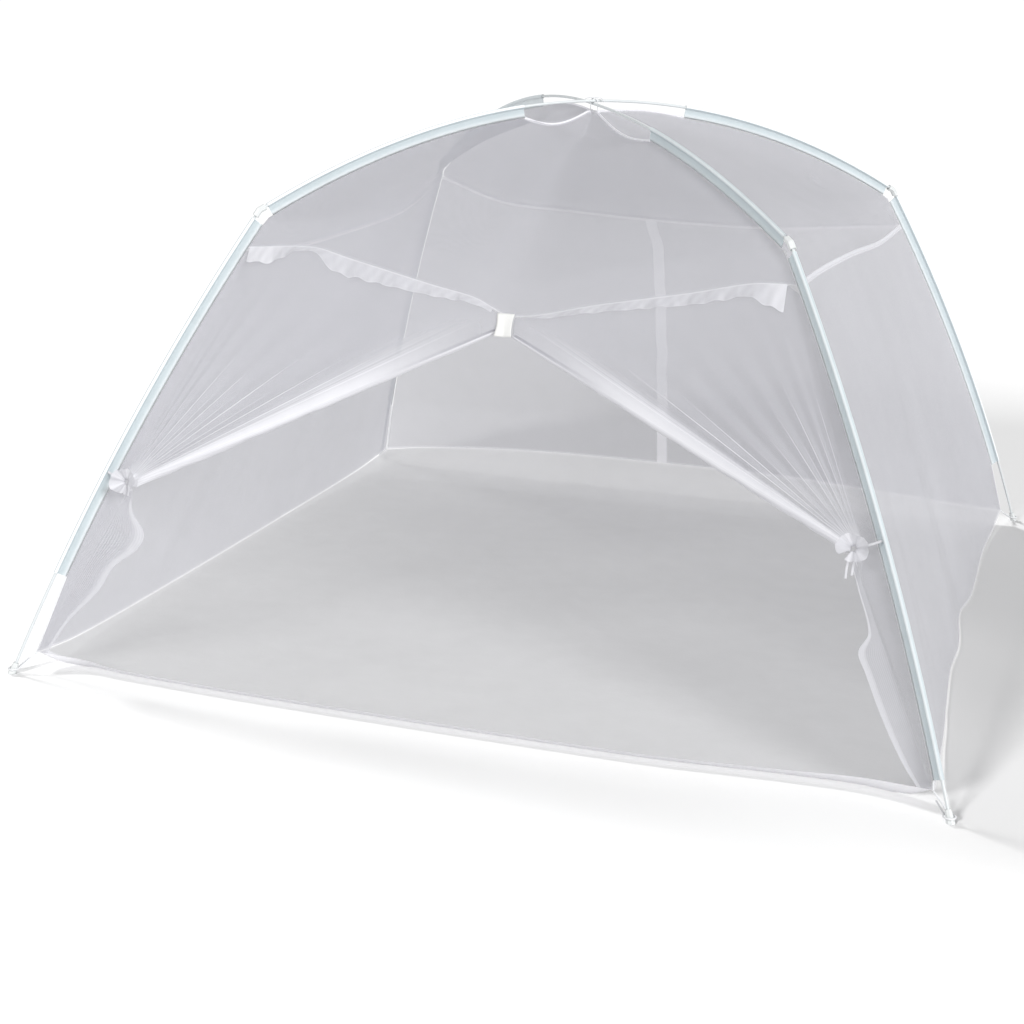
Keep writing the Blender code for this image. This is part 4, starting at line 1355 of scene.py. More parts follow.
@dataclass
class Tapes:
    """White tapes: over the seams at elbow height, down the back, along the bare stretches of the roof's seams."""

    seam_width: float = 0.012
    band_width: float = 0.036
    crown_width: float = 0.008
    thickness: float = 0.0008
    crown_thickness: float = 0.0016  # it is folded over the seam
    pieces: dict[str, bpy.types.Object] = field(default_factory=dict)

    def ribbon(
        self, name: str, points: Sequence[Vector], normals: Sequence[Vector], width: float,
        finish: bpy.types.Material, thickness: float,
    ) -> None:
        """Builds a tape along a line.

        Args:
            name: of the CAD node that it replaces.
            points: its middle line.
            normals: which way its face looks.
            width: across it.
            finish: its material.
            thickness: of the tape.
        """
        places = tape_frames(points, normals)
        count = len(points) - 1

        def place(u: float, v: float) -> Vector:
            """A point of the tape, which cups a little."""
            return places[round(v * count)] @ Vector(((u - 0.5) * width, 0.0004 * math.cos(math.pi * (u - 0.5)), 0.0))

        cloth = Cloth(
            name + "_tape", place, even(4), even(count), finish, Slot.TAPE, [name], outward=normals[0],
            thickness=thickness,
        )
        self.pieces[name] = cloth.build()

    def build(self) -> None:
        """Builds all of them."""
        seam_finish = TapeFinish("seam tape", self.seam_width, density=0.5).material()
        for side in SIDES[1:]:
            shares = [0.008 + 0.984 * t for t in even(96)]
            normals = [
                (normal_of(side.wall, u, 1.0, side.outward) + normal_of(side.roof, u, 0.0, side.outward)).normalized()
                for u in shares
            ]
            points = [side.seam(u) + normal * SEWN_ON for u, normal in zip(shares, normals)]
            self.ribbon(f"seam_tape_{side.name}", points, normals, self.seam_width, seam_finish, self.thickness)
        self.band(TapeFinish("back band tape", self.band_width, (0.80, 0.80, 0.84, 1.0), 0.80).material())
        self.crown(TapeFinish("crown tape", self.crown_width).material())

    def band_share(self, up: float, off: float) -> float:
        """Gives the back wall's share beside the band's middle line.

        Args:
            up: share up the wall.
            off: how far to the right of that line, in metres.

        Returns:
            The share, from the right leg to the left one.
        """
        drift = ((0.0, -0.054), (0.45, -0.026), (0.88, -0.018), (1.0, -0.036))
        wave = 0.0016 * math.sin(up * 31.0) + 0.0010 * math.sin(up * 57.0 + 1.0)
        return 0.5 - (read_table(drift, up, 1) + wave + off) / back_width(up)

    def band(self, finish: bpy.types.Material) -> None:
        """Builds the upright band in the middle of the back.

        Args:
            finish: its material.
        """

        def place(u: float, v: float) -> Vector:
            """A point of the band, which waves a little.

            Args:
                u: across.
                v: along.

            Returns:
                The point.
            """
            up = 0.004 + v * 0.984
            share = self.band_share(up, (0.5 - u) * self.band_width)
            return BACK.wall(share, up) + BAND_OUT * (0.0022 + 0.0006 * math.sin(math.pi * u))

        cloth = Cloth(
            "back_band_tape", place, even(6), even(80), finish, Slot.TAPE, ["back_band"], outward=BACK.outward,
            thickness=self.thickness,
        )
        self.pieces["back_band"] = cloth.build()

    def crown(self, finish: bpy.types.Material) -> None:
        """Builds the tapes between the sleeves and the crossing.

        Args:
            finish: their material.
        """
        for leg in LEGS:
            crown = leg.sleeve_ends[1]
            end = leg.whole.at(crown)
            tangent = (leg.whole.at(crown + 0.01) - end).normalized()
            start = leg.inner.where(lambda p, e=end, t=tangent: (p - e).dot(t) >= 2 * S.gap)
            stretch = leg.inner.cut(start, leg.inner.length)
            stretch = Line([*stretch.points, stretch.points[-1] - leg.outward * (S.hub_reach - 0.0055)])
            points = [stretch.share(t) for t in even(30)]
            normals = [leg.across] * len(points)
            self.ribbon(f"crown_tape_{leg.name}", points, normals, self.crown_width, finish, self.crown_thickness)


DENSE, LIGHT = 0.80, 0.42  # how much the far panels and the near panels hide
# The panels' net colours differ as painted light: the front roof is darker, and the right panels and the back wall are
# lighter, than the plain net, to even out how the lamps fall on each side.
PANEL_NETS = {
    "roof_front": NetFinish("roof net front", (0.42, 0.42, 0.455, 1.0), density=LIGHT),
    "roof_right": NetFinish("roof net right", (0.54, 0.54, 0.575, 1.0), density=LIGHT, shade=0.6),
    "roof_back": NetFinish("roof net back", density=DENSE, shade=0.8),
    "roof_left": NetFinish("roof net left", density=DENSE),
    "wall_right": NetFinish("wall net right", (0.56, 0.56, 0.595, 1.0), density=LIGHT + 0.1, shade=1.0),
    "wall_back": NetFinish("wall net back", (0.545, 0.545, 0.575, 1.0), density=DENSE, shade=1.0),
    "wall_left": NetFinish("wall net left", density=DENSE),
}
WALL_FOLDS = {
    "wall_right": (
        Fold((0.10, 0.0), (0.16, 0.45), 0.035, 0.006), Fold((0.24, 0.0), (0.20, 0.55), 0.03, -0.005),
        Fold((0.42, 0.0), (0.46, 0.5), 0.04, 0.006), Fold((0.58, 0.0), (0.55, 0.35), 0.03, -0.006),
    ),
    "wall_back": (Fold((0.30, 0.0), (0.34, 0.9), 0.04, 0.004), Fold((0.68, 0.0), (0.64, 0.8), 0.04, 0.004)),
    "wall_left": (Fold((0.35, 0.0), (0.42, 0.9), 0.05, 0.005), Fold((0.75, 0.05), (0.70, 0.8), 0.04, -0.005)),
}


@dataclass
class NetPanels:
    """The four roof panels and the three walls, each one sheet of net hung between two arches."""

    tapes: Tapes
    sleeves: Sleeves
    columns: int = 64
    rows: int = 40
    roof_start: float = 0.0009  # the roof starts just above the seam, and the wall ends just below it
    wall_end: float = 0.9992

    def panel(
        self, name: str, side: Side, base: Surface, lit: Mask,
        fine: Sequence[float] = (),
    ) -> None:
        """Builds one panel.

        Args:
            name: of the panel and of the CAD node that it replaces.
            side: which side of the canopy it is on.
            base: its surface without folds.
            lit: its mask of doubled cloth.
            fine: shares of its width that get columns of their own.
        """
        folds = WALL_FOLDS.get(name, ())

        def place(u: float, v: float) -> Vector:
            """A point of the panel.

            Args:
                u: along the hem.
                v: upwards.

            Returns:
                The point.
            """
            lift = sum(fold.height(u, v) for fold in folds)
            edge = ease(0.0, 0.03, u) * ease(1.0, 0.97, u) * ease(1.0, 0.97, v)
            return base(u, v) + side.outward * lift * edge

        across = (base(1.0, 0.3) - base(0.0, 0.3)).length
        upward = (base(0.5, 1.0) - base(0.5, 0.0)).length
        columns = sorted({*edge_steps(across, self.columns), *fine})
        cloth = Cloth(
            name + "_net", place, columns, edge_steps(upward, self.rows), PANEL_NETS[name].material(), Slot.NET, [name],
            lit, outward=side.outward + UP * 0.2,
        )
        declare(cloth, cloth.build(), "hung")

    def roof(self, side: Side) -> None:
        """Builds the roof panel of a side.

        Args:
            side: the side.
        """
        high = (side.roof(0.5, 1) - side.roof(0.5, 0)).length

        def base(u: float, v: float) -> Vector:
            """The roof panel, just above its seam."""
            return side.roof(u, max(v, self.roof_start))

        def lit(u: float, v: float) -> float:
            """A sewn edge along the seam, and the net drawn together beside the back left pole."""
            gathered = 0.45 * ease(0.34, 0.02, u) * ease(0.95, 0.45, v) if side is LEFT_SIDE else 0.0
            return max(0.50 * soft_band(v * high, 0.0035), gathered)

        self.panel(f"roof_{side.name}", side, base, lit)

    def wall(self, side: Side) -> None:
        """Builds the wall of a side.

        Args:
            side: the side.
        """
        high = (side.wall(0.5, 1) - side.wall(0.5, 0)).length

        def base(u: float, v: float) -> Vector:
            """The wall, just below its seam."""
            return side.wall(u, min(v, self.wall_end))

        def lit(u: float, v: float) -> float:
            """A thin hem at the ground, a sewn edge at the seam, and on the back a stripe over the band sewn behind the
            net. The back's seam edge and the stripe are whiter: partly the tapes seen through the net, partly painted
            light for the tapes' inner faces, which are in shade.

            Args:
                u: along the hem.
                v: upwards.

            Returns:
                How white the cloth is there.
            """
            # The back's seam edge is painted lighter than the other walls': painted light for the seam tape outside it,
            # whose inner face is in shade.
            seam = 0.80 if side is BACK else 0.45
            edges = max(0.35 * soft_band(v * high, 0.005), seam * soft_band((1 - v) * high, 0.009))
            if side is LEFT_SIDE:
                return max(edges, 0.45 * ease(0.26, 0.02, u) * ease(0.15, 0.75, v))
            if side is BACK:
                off = abs(u - self.tapes.band_share(v, 0.0)) * back_width(v)
                # The stripe over the back band is partly the band seen through the net and partly painted light, since
                # the band's inner face is in shade.
                return max(edges, 0.9 * ease(0.0205, 0.0165, off))
            return edges

        fine = []
        if side is BACK:
            fine = [0.49 + 0.0016 * k for k in range(50)]  # the stretch that the back band is on
        self.panel(f"wall_{side.name}", side, base, lit, fine)

    def build(self) -> None:
        """Builds each side's roof panel, then its wall, which the doorway side doesn't have."""
        for side in SIDES:
            self.roof(side)
            if side is not FRONT:
                self.wall(side)


@dataclass
class Cords:
    """The elastic loops at the corners and the knotted cord at the crossing."""

    finish: bpy.types.Material

    def cord(self, name: str, points: Sequence[Vector], normals: Sequence[Vector], radius: float) -> None:
        """Builds a round cord with closed, rounded ends.

        Args:
            name: of the CAD node that it replaces.
            points: its middle line.
            normals: a direction that isn't along it, for each point.
            radius: of the cord.
        """
        places = tape_frames(points, normals)
        count = len(points) + 3

        def place(u: float, v: float) -> Vector:
            """A point of the cord, whose ends close over two short steps.

            Args:
                u: round the cord.
                v: along it.

            Returns:
                The point.
            """
            k = round(v * count)
            near = min(k, count - k)
            where = places[min(max(k - 2, 0), len(points) - 1)]
            size = (0.0001, 0.72, 1.0)[min(near, 2)] * radius
            out = (0.55, 0.42, 0.0)[min(near, 2)] * radius * (-1 if k < count / 2 else 1)
            return where @ Vector((size * math.cos(math.tau * u), size * math.sin(math.tau * u), out))

        Cloth(name + "_cord", place, even(10), even(count), self.finish, Slot.TAPE, [name], closed=True).build()

    def loop(self, leg: Leg) -> None:
        """Builds the loop from a sleeve's lower end to the net's corner and round the foot cap.

        Args:
            leg: the leg that it is at.
        """
        out, side = leg.outward, leg.across
        down = Line(list(reversed(leg.halves[0].points)))
        foot = leg.whole.at(leg.sleeve_ends[0])
        tangent = (foot - leg.whole.at(0.0)).normalized()
        start = down.where(lambda p, f=foot, t=tangent: (p - f).dot(t) <= -S.cord_radius)
        stretch = down.cut(start, down.length).points
        axis = leg.whole.at(0.013)
        centre = Vector((axis.x, axis.y, 0.013))
        round_it = S.cap_foot_radius + S.cord_radius + 0.0008
        hook = [
            centre + (out * math.cos(math.radians(t)) + side * math.sin(math.radians(t))) * round_it
            for t in (150, 130, 110, 90, 70, 50, 30, 10, -10, -30, -50, -70, -90, -110, -130, -150, -165)
        ]
        back_end = leg.corner.lerp(hook[-1], 0.40) - side * 0.004
        line = [*stretch, leg.corner.lerp(hook[0], 0.5) + side * 0.002, *hook, back_end]
        normals = [UP * 0.3 + out] * len(stretch) + [UP] * (len(line) - len(stretch))
        self.cord(f"corner_loop_{leg.name}", line, normals, S.cord_radius)

    def build(self) -> None:
        """Builds the loops and the tie at the crossing."""
        for leg in LEGS:
            self.loop(leg)
        half, under, over = 0.0098, S.hub_height - 0.0085, S.pole_top + 0.0060
        right_half = [
            Vector((0.0055, 0, under)), Vector((half, 0, under + 0.008)), Vector((half, -0.0005, S.pole_top - 0.004)),
            Vector((0.0055, -0.002, over)), Vector((-0.005, -0.0026, over + 0.003)),
            Vector((-0.022, -0.005, over + 0.001)), Vector((-0.027, -0.006, over - 0.008)),
        ]
        line = rounded([Vector((-p.x, -p.y, p.z)) for p in reversed(right_half)] + right_half, 4)
        self.cord("apex_tie", line, [Vector((0, 1, 0))] * len(line), 0.0015)


@dataclass(frozen=True)
class Neck:
    """A row of the gathered cloth at a tie."""

    out: float
    radius: float
    flute: float


@dataclass(frozen=True)
class Strand:
    """A line of door cloth from the tie outwards."""

    end: Vector
    angle: float
    pleat: float = 0.0
    sway: float = 0.0
    ridge: float = 0.0  # how much of a fan line shows
    reach: float = 1.0  # how far from the tie it shows
    band: float = 0.0  # doubled or heaped cloth


@dataclass
class Door:
    """One half of the doorway cloth, gathered to its pole: a fan of pleats, a rolled edge and a puff past the tie."""

    name: str
    leg: Leg
    way: int
    knot: Vector
    edge_share: float
    bends: tuple[float, ...]
    roll_start: float
    roll_end: float
    hem: Table
    tail: float
    fan_lines: Table  # which bend, how bright, and how far from the tie
    roll_columns: int = 6
    roll_turn: float = math.radians(52)
    pleat_share: float = 0.6  # how much of the fan table's depth the pleats have
    necks: tuple[Neck, ...] = (
        Neck(0.049, 0.027, 0.0045), Neck(0.030, 0.0078, 0.0), Neck(0.018, 0.0078, 0.0), Neck(0.005, 0.020, 0.0),
    )
    fan: Table = (
        (0, 0.0, 0.0, 0.20), (1, 0.06, 0.0005, 0.28), (2, 0.12, 0.0016, 0.48), (3, 0.20, 0.0034, 0.74),
        (4, 0.32, 0.0050, 1.0), (5, 0.46, 0.0050, 1.0), (6, 0.60, 0.0036, 1.0), (7, 0.80, 0.0016, 1.0),
        (8, 1.00, 0.0, 1.0),
    )

    @property
    def toward(self) -> Vector:
        """Level, from the pole into the doorway."""
        return RIGHT * -self.way

    def ring(self, angle: float, radius: float, out: float) -> Vector:
        """Gives a point of a ring round the tie."""
        turn = math.radians(angle)
        return self.knot + KNOT_OUT * out + (self.toward * math.cos(turn) + KNOT_UP * math.sin(turn)) * radius

    def fan_line(self, at: float) -> tuple[float, float]:
        """Gives how white the brightest fan line near a place is, and how far from the tie it shows.

        Args:
            at: the place, counted in bends.

        Returns:
            How white, and how far as a share.
        """
        ridge, reach = 0.0, 1.0
        for bend, light, far in self.fan_lines:
            near = ease(0.075, 0.02, abs(at - bend)) * min(light * 1.7, 0.85)
            if near > ridge:
                ridge, reach = near, far
        return ridge, reach

    def fan_strands(self) -> list[Strand]:
        """Lists the strands that end at the rolled edge's outer end and along the doorway's seam.

        Returns:
            The strands.
        """
        rolled = FRONT.seam(self.edge_share) - KNOT_UP * 0.044
        first = FRONT.seam(self.bends[0])
        made = [Strand(rolled.lerp(first, t), 29.0 + 7.0 * t, t, band=0.9 - 0.2 * t) for t in (0.0, 0.3, 0.6)]
        count = len(self.bends) - 1
        for k in range(count):
            for part in even(12)[:-1] if k < 2 else (0.0, 0.03, 0.07, 0.15, 0.32, 0.5, 0.68, 0.85, 0.93, 0.97):
                at = k + part
                seam = FRONT.seam(self.bends[k] + (self.bends[k + 1] - self.bends[k]) * part)
                end = seam + (self.knot - seam).normalized() * 0.0014
                pleat = math.cos(math.pi * at) * (1 - (at / count) ** 3)
                ridge, reach = self.fan_line(at)
                streak = 0.5 + 0.5 * math.sin(at * 17.0) * math.sin(at * 7.3 + 1.0)
                band = ease(1.9, 0.0, at) * (0.42 + 0.45 * streak)
                made.append(Strand(end, 36.0 + 96.0 * at / count, pleat, ridge=ridge, reach=reach, band=band))
        return made

    def side_strands(self) -> list[Strand]:
        """Lists the strands that end along the pole, in heights and angles, and the hem's from the corner up.

        Returns:
            The strands.
        """
        seam, height = self.leg.seam_height, self.knot.z
        top = seam - 0.07
        beside = (
            (seam - 0.0005, 132.0), (top, 138.0), (top - 0.5 * (top - height), 147.0), (height + 0.12, 160.0),
            (height + 0.03, 188.0), (height - 0.06, 215.0), (height - 0.16, 232.0), (height - 0.27, 247.0),
            (0.105, 260.0),
        )
        made = []
        for before, here in zip(beside, beside[1:]):
            for part in (0.25, 0.5, 0.75, 1.0):
                level, angle = (a + (b - a) * part for a, b in zip(before, here))
                made.append(Strand(self.pole_line.at(self.pole_line.where(lambda p, h=level: p.z >= h)), angle))
        corner = self.pole_line.points[0] + UP * 0.004
        made.append(Strand(made[-1].end.lerp(corner, 0.5), 265.5))
        for part in (0.0, 0.4, 0.8, 1.2, 1.5, 1.8, 2.1, 2.35, 2.6, 2.8, 3.0):
            end = corner + self.toward * 0.011 * part
            made.append(Strand(end, HEM_ANGLE + 9.0 * part, 0.0, part / 3, band=ease(1.9, 2.5, part)))
        return made

    @cached_property
    def pole_line(self) -> Line:
        """The line at its pole, below the seam."""
        return FRONT.lines[0] if self.way < 0 else FRONT.lines[2]

    def flat_point(self, strand: Strand, share: float) -> Vector:
        """Gives a point of a strand before it is pleated.

        Args:
            strand: the strand.
            share: along it, from the tie.

        Returns:
            The point.
        """
        start = self.ring(strand.angle, S.ring_radius, self.necks[-1].out)
        sway = read_table(self.hem, share, 1) * strand.sway
        return start.lerp(strand.end, share) + self.toward * sway

    def rolled_point(self, first: Strand, step: float, share: float, closed: float) -> Vector:
        """Gives a point of the rolled free edge.

        Args:
            first: the strand that the roll starts from.
            step: how far round the roll, in its bends.
            share: along the edge, from the tie.
            closed: how much of the roll has closed.

        Returns:
            The point.
        """
        tangent_point = self.flat_point(first, share)
        along_edge = (first.end - self.knot).normalized()
        normal = (KNOT_OUT - along_edge * along_edge.dot(KNOT_OUT)).normalized()
        down = along_edge.cross(normal)
        if down.z > 0:
            down.negate()
        radius = self.roll_end + (self.roll_start - self.roll_end) * share
        radius *= 1 + 0.05 * math.sin(share * 37.0) + 0.04 * math.sin(share * 71.0 + 2.0)
        turn = self.roll_turn * step * closed
        centre = tangent_point - normal * radius
        return centre + (normal * math.cos(turn) + down * math.sin(turn)) * radius * (1 - 0.035 * step)

    def build(self, finish: bpy.types.Material) -> tuple[Cloth, bpy.types.Object]:
        """Builds the cloth.

        Args:
            finish: its net.

        Returns:
            How it was laid, and the piece.
        """
        strands = [*self.fan_strands(), *self.side_strands()]
        rolls = 2 * self.roll_columns
        total = rolls + len(strands) - 1
        rows = [k / 4 for k in range(16)] + [4 + 7 * k / 56 for k in range(57)]
        last = len(self.necks) - 1
        neck_table = tuple((k, neck.out, neck.radius, neck.flute) for k, neck in enumerate(self.necks))

        def place(u: float, v: float) -> Vector:
            """A point of the cloth, by strand and row.

            Args:
                u: over the strands.
                v: from the puff outwards.

            Returns:
                The point.
            """
            column = round(u * total) - rolls
            row = rows[round(v * (len(rows) - 1))]
            strand = strands[max(column, 0)]
            angle = strand.angle if column >= 0 else strand.angle + column * 5.0
            if row <= last:
                lobes = 0.8 * math.sin(angle * 0.035 + 1.0) + 0.35 * math.sin(angle * 0.087 + 2.0)
                flute = read_table(neck_table, row, 3) * (0.10 * math.sin(angle * 0.21) + lobes)
                crimp = 0.0004 * math.sin(angle * 0.55) * ease(0.0, 0.6, row) * ease(3.0, 2.4, row)
                puff = 0.007 * ease(1.2, 0.0, row)
                radius = read_table(neck_table, row, 2) + puff + flute + crimp
                return self.ring(angle, radius, read_table(neck_table, row, 1))
            share, depth, closed = (read_table(self.fan, row - last, c) for c in (1, 2, 3))
            if column >= 0:
                return self.flat_point(strand, share) + KNOT_OUT * depth * strand.pleat * self.pleat_share
            rolled = self.rolled_point(strand, -column / 2, share, closed)
            return self.ring(angle, S.ring_radius, self.necks[-1].out).lerp(rolled, ease(0.0, 1.0, row - last))

        least = 0.14 if self.name == "right" else 0.0  # the right half's hem never fades out

        def lit(u: float, v: float) -> float:
            """Where the net is heaped: at the tie, in the roll, along the fan's lines and in the hem.

            Args:
                u: over the strands.
                v: from the puff outwards.

            Returns:
                How white the cloth is there.
            """
            column = round(u * total) - rolls
            row = rows[round(v * (len(rows) - 1))]
            strand = strands[max(column, 0)]
            if row <= last:
                return 0.60 + 0.16 * math.sin(strand.angle * 0.087 + 2.0) + 0.08 * math.sin(strand.angle * 0.21)
            share = read_table(self.fan, row - last, 1)
            near_tie = (0.45 + 0.25 * math.sin(strand.angle * 0.9)) * ease(0.12, 0.0, share)
            if column < 0:
                streak = 0.10 * math.sin(column * 1.7 + share * 9.0)
                return max(near_tie, 0.80 + streak)
            line = strand.ridge * ease(strand.reach, strand.reach * 0.45, share)
            if strand.sway > 0 or strand.angle >= HEM_ANGLE:
                return max(near_tie * 0.5, strand.band * 0.50, least)
            return max(near_tie, line, strand.band * ease(1.05, 0.55, share))

        cloth = Cloth(
            f"door_{self.name}_net", place, even(total), even(len(rows) - 1), finish, Slot.NET,
            [f"door_{self.name}"], lit, outward=KNOT_OUT,
        )
        return cloth, cloth.build()


@dataclass
class TieTape:
    """The tape round a door's gathered cloth: a ring, a strap to the pole's sleeve and two free ends."""

    door: Door
    width: float = 0.006
    thickness: float = 0.0016
    ribbon_thickness: float = 0.0011

    @cached_property
    def centre(self) -> Vector:
        """The middle of the ring."""
        return self.door.knot + KNOT_OUT * S.throat_out

    def ribbon(self, name: str, line: Line, finish: bpy.types.Material) -> bpy.types.Object:
        """Builds a narrow flat ribbon with its thickness.

        Args:
            name: of the piece.
            line: its middle line.
            finish: its material.

        Returns:
            The ribbon.
        """
        steps = 24
        points = [line.share(t) for t in even(steps)]
        places = tape_frames(points, [KNOT_OUT] * len(points))

        def place(u: float, v: float) -> Vector:
            """A point of the ribbon, which cups a little."""
            cup = 0.0003 * math.cos(math.pi * (u - 0.5))
            return places[round(v * steps)] @ Vector(((u - 0.5) * self.width, cup, 0.0))

        return Cloth(
            name, place, even(3), even(steps), finish, Slot.TAPE, outward=KNOT_OUT, thickness=self.ribbon_thickness
        ).build()

    def build(self, finish: bpy.types.Material) -> list[bpy.types.Object]:
        """Builds the ring, the strap and the free ends.

        Args:
            finish: their material.

        Returns:
            The pieces.
        """
        door = self.door
        inner = S.throat_radius + S.cloth / 2 + S.gap + 0.0002

        def band(u: float, v: float) -> Vector:
            """A point of the ring's closed section, turned round the gathered cloth.

            Args:
                u: round the ring.
                v: round its section.

            Returns:
                The point.
            """
            turn = math.tau * u
            radius = inner + self.thickness / 2 + 0.0011 * math.cos(math.tau * v)
            rise = 0.0032 * math.sin(math.tau * v) + 0.0005 * math.sin(3 * turn)
            level = door.toward * math.cos(turn) + KNOT_UP * math.sin(turn)
            return self.centre + level * radius + KNOT_OUT * rise

        ring = Cloth(
            f"tie_{door.name}_ring", band, even(32), even(10), finish, Slot.TAPE, [f"tie_{door.name}"], closed=True
        ).build()
        whole = door.leg.whole
        at = min((whole.at(0.01 * k) for k in range(140)), key=lambda p: (p - self.centre).length)
        to_pole = (at - self.centre).normalized()
        level = (to_pole - KNOT_OUT * to_pole.dot(KNOT_OUT)).normalized()
        edge = inner + self.thickness
        root, end = self.centre + level * (edge - 0.001), at - to_pole * (S.sleeve_radius + 0.0007)
        knee = self.centre + level * (edge + 0.004)
        middle = knee.lerp(end, 0.5) - UP * 0.0015
        made = [ring, self.ribbon(f"tie_{door.name}_strap", Line(rounded([root, knee, middle, end], 6)), finish)]
        for number, (angle, length) in enumerate(((-62.0, door.tail), (-98.0, door.tail * 0.8))):
            turn = math.radians(angle)
            aim = door.toward * math.cos(turn) + KNOT_UP * math.sin(turn)
            root, knee = self.centre + aim * (edge - 0.001), self.centre + aim * (edge + 0.004)
            middle = knee + (aim * 0.3 - KNOT_UP) * length * 0.5
            end = knee + (aim * 0.3 - KNOT_UP * 2) * length * 0.5
            line = Line(rounded([root, knee, middle, end], 6))
            made.append(self.ribbon(f"tie_{door.name}_end_{number + 1}", line, finish))
        return made


@dataclass(frozen=True)
class Valance:
    """A ruffled strip sewn along the outer side of the doorway's seam."""

    name: str
    widths: Table
    ruffles: int

    def build(self, finish: bpy.types.Material) -> None:
        """Builds the strip.

        Args:
            finish: its net.
        """
        first, last = self.widths[0][0], self.widths[-1][0]

        def ripple(u: float) -> float:
            """How far the strip stands off, over its plain flare."""
            wide = math.sin(math.tau * self.ruffles * u)
            return 0.003 * wide + 0.0015 * math.sin(math.tau * self.ruffles * 2.3 * u)

        def place(u: float, v: float) -> Vector:
            """A point of the strip.

            Args:
                u: along the seam.
                v: downwards.

            Returns:
                The point.
            """
            share = first + (last - first) * u
            scallop = 1 + 0.05 * math.sin(math.tau * self.ruffles * 1.7 * u + 0.8) + 0.03 * math.sin(u * 90.0)
            width = read_table(self.widths, share, 1) * scallop
            fine = 0.0006 * math.sin(math.tau * self.ruffles * 5.1 * u)
            out = SEWN_ON + (0.011 + ripple(u) + fine) * v
            return FRONT.seam(share) - KNOT_UP * (width * v - 0.002) + KNOT_OUT * out

        def lit(u: float, v: float) -> float:
            """Heaped more in the ruffles' hollows and at the sewn edge.

            Args:
                u: along the seam.
                v: downwards.

            Returns:
                How white the cloth is there.
            """
            share = first + (last - first) * u
            hollow = 0.5 - 0.5 * math.sin(math.tau * self.ruffles * u)
            fold = 0.5 + 0.5 * math.sin(math.tau * self.ruffles * 3.4 * u + 5.0 * v)
            heaped = ease(last - 0.05, last, share) if self.name == "right" else ease(0.10, 0.03, share)
            plain = 0.16 + 0.08 * hollow + 0.08 * fold + 0.30 * heaped
            return max(0.45 * ease(0.10, 0.0, v), plain, 0.50 * ease(0.94, 0.99, v))

        rows = [0.0, 0.05, 0.1, 0.2, 0.35, 0.5, 0.65, 0.8, 0.9, 0.95, 1.0]
        cloth = Cloth(
            f"valance_{self.name}_net", place, even(180), rows, finish, Slot.NET, [f"valance_{self.name}"], lit,
            outward=KNOT_OUT,
        )
        declare(cloth, cloth.build(), "gathered")


VALANCES = (
    Valance(
        "left",
        (
            (0.004, 0.040), (0.04, 0.046), (0.075, 0.034), (0.10, 0.016), (0.14, 0.014), (0.175, 0.044),
            (0.24, 0.042), (0.36, 0.028), (0.474, 0.012),
        ),
        7,
    ),
    Valance(
        "right",
        (
            (0.526, 0.008), (0.64, 0.018), (0.76, 0.026), (0.86, 0.032), (0.93, 0.034), (0.955, 0.056),
            (0.985, 0.064),
        ),
        6,
    ),
)


@dataclass
class Floor:
    """The net floor: flat on the ground and drawn up to the hems, with a white standing hem across the doorway."""

    inset: float = 0.0016
    corner_inset: float = 0.008
    reaches: tuple[float, float, float, float] = (0.030, 0.10, 0.26, 0.10)  # how far from each hem it is drawn up

    def rim(self, side: Side, u: float) -> Vector:
        """Gives a point of the floor's edge, just inside a side's hem.

        Args:
            side: the side.
            u: along its hem.

        Returns:
            The point.
        """
        start, end = (LEGS[k].corner - LEGS[k].outward * self.corner_inset for k in (side.first, side.second))
        to_start = (start - side.hem(0) + side.outward * self.inset) * (1 - u) ** 12
        to_end = (end - side.hem(1) + side.outward * self.inset) * u**12
        return side.hem(u) - side.outward * self.inset + to_start + to_end

    def place(self, u: float, v: float) -> Vector:
        """Gives a point of the floor.

        Args:
            u: to the right.
            v: to the back.

        Returns:
            The point.
        """
        hems = self.rim(FRONT, u), self.rim(RIGHT_SIDE, v), self.rim(BACK, 1 - u), self.rim(LEFT_SIDE, 1 - v)
        corners = [self.rim(side, 0.0) for side in SIDES]
        point = hems[0] * (1 - v) + hems[2] * v + hems[3] * (1 - u) + hems[1] * u
        point -= corners[0] * (1 - u) * (1 - v) + corners[1] * u * (1 - v)
        point -= corners[3] * (1 - u) * v + corners[2] * u * v
        lift = 0.0
        for hem, share, reach in zip(hems, (v, 1 - u, 1 - v, u), self.reaches):
            away = max(1 - share * 2 * S.corner_x / reach, 0.0)
            lift = max(lift, (hem.z - S.cloth / 2) * away**1.6)
        wave = 0.0016 * (1 + math.sin(u * 19.0 + 5.0 * v)) * (1 + math.sin(v * 23.0 - 4.0 * u))
        wave *= ease(0.0, 0.08, u) * ease(1.0, 0.92, u) * ease(0.0, 0.08, v) * ease(1.0, 0.92, v)
        return Vector((point.x, point.y, S.cloth / 2 + lift + wave))

    def lit(self, u: float, v: float) -> float:
        """White in the standing hem, and a thin line in the other three.

        Args:
            u: to the right.
            v: to the back.

        Returns:
            How white the cloth is there.
        """
        wide = 2 * S.corner_x
        front = soft_band(v * wide, 0.034) * 0.97
        others = max(soft_band((1 - v) * wide, 0.007), soft_band(u * wide, 0.005), soft_band((1 - u) * wide, 0.005))
        return max(front, 0.22 * others)

    def build(self, finish: bpy.types.Material) -> None:
        """Builds the floor.

        Args:
            finish: its net.
        """
        near = (0.0, 0.003, 0.007, 0.012, 0.018, 0.024, 0.030, 0.037, 0.045, 0.06, 0.09)
        shares = edge_steps(2 * S.corner_x, 90, near)
        cloth = Cloth("floor_net", self.place, shares, shares, finish, Slot.NET, ["floor"], self.lit, outward=UP)
        declare(cloth, cloth.build(), "laid")


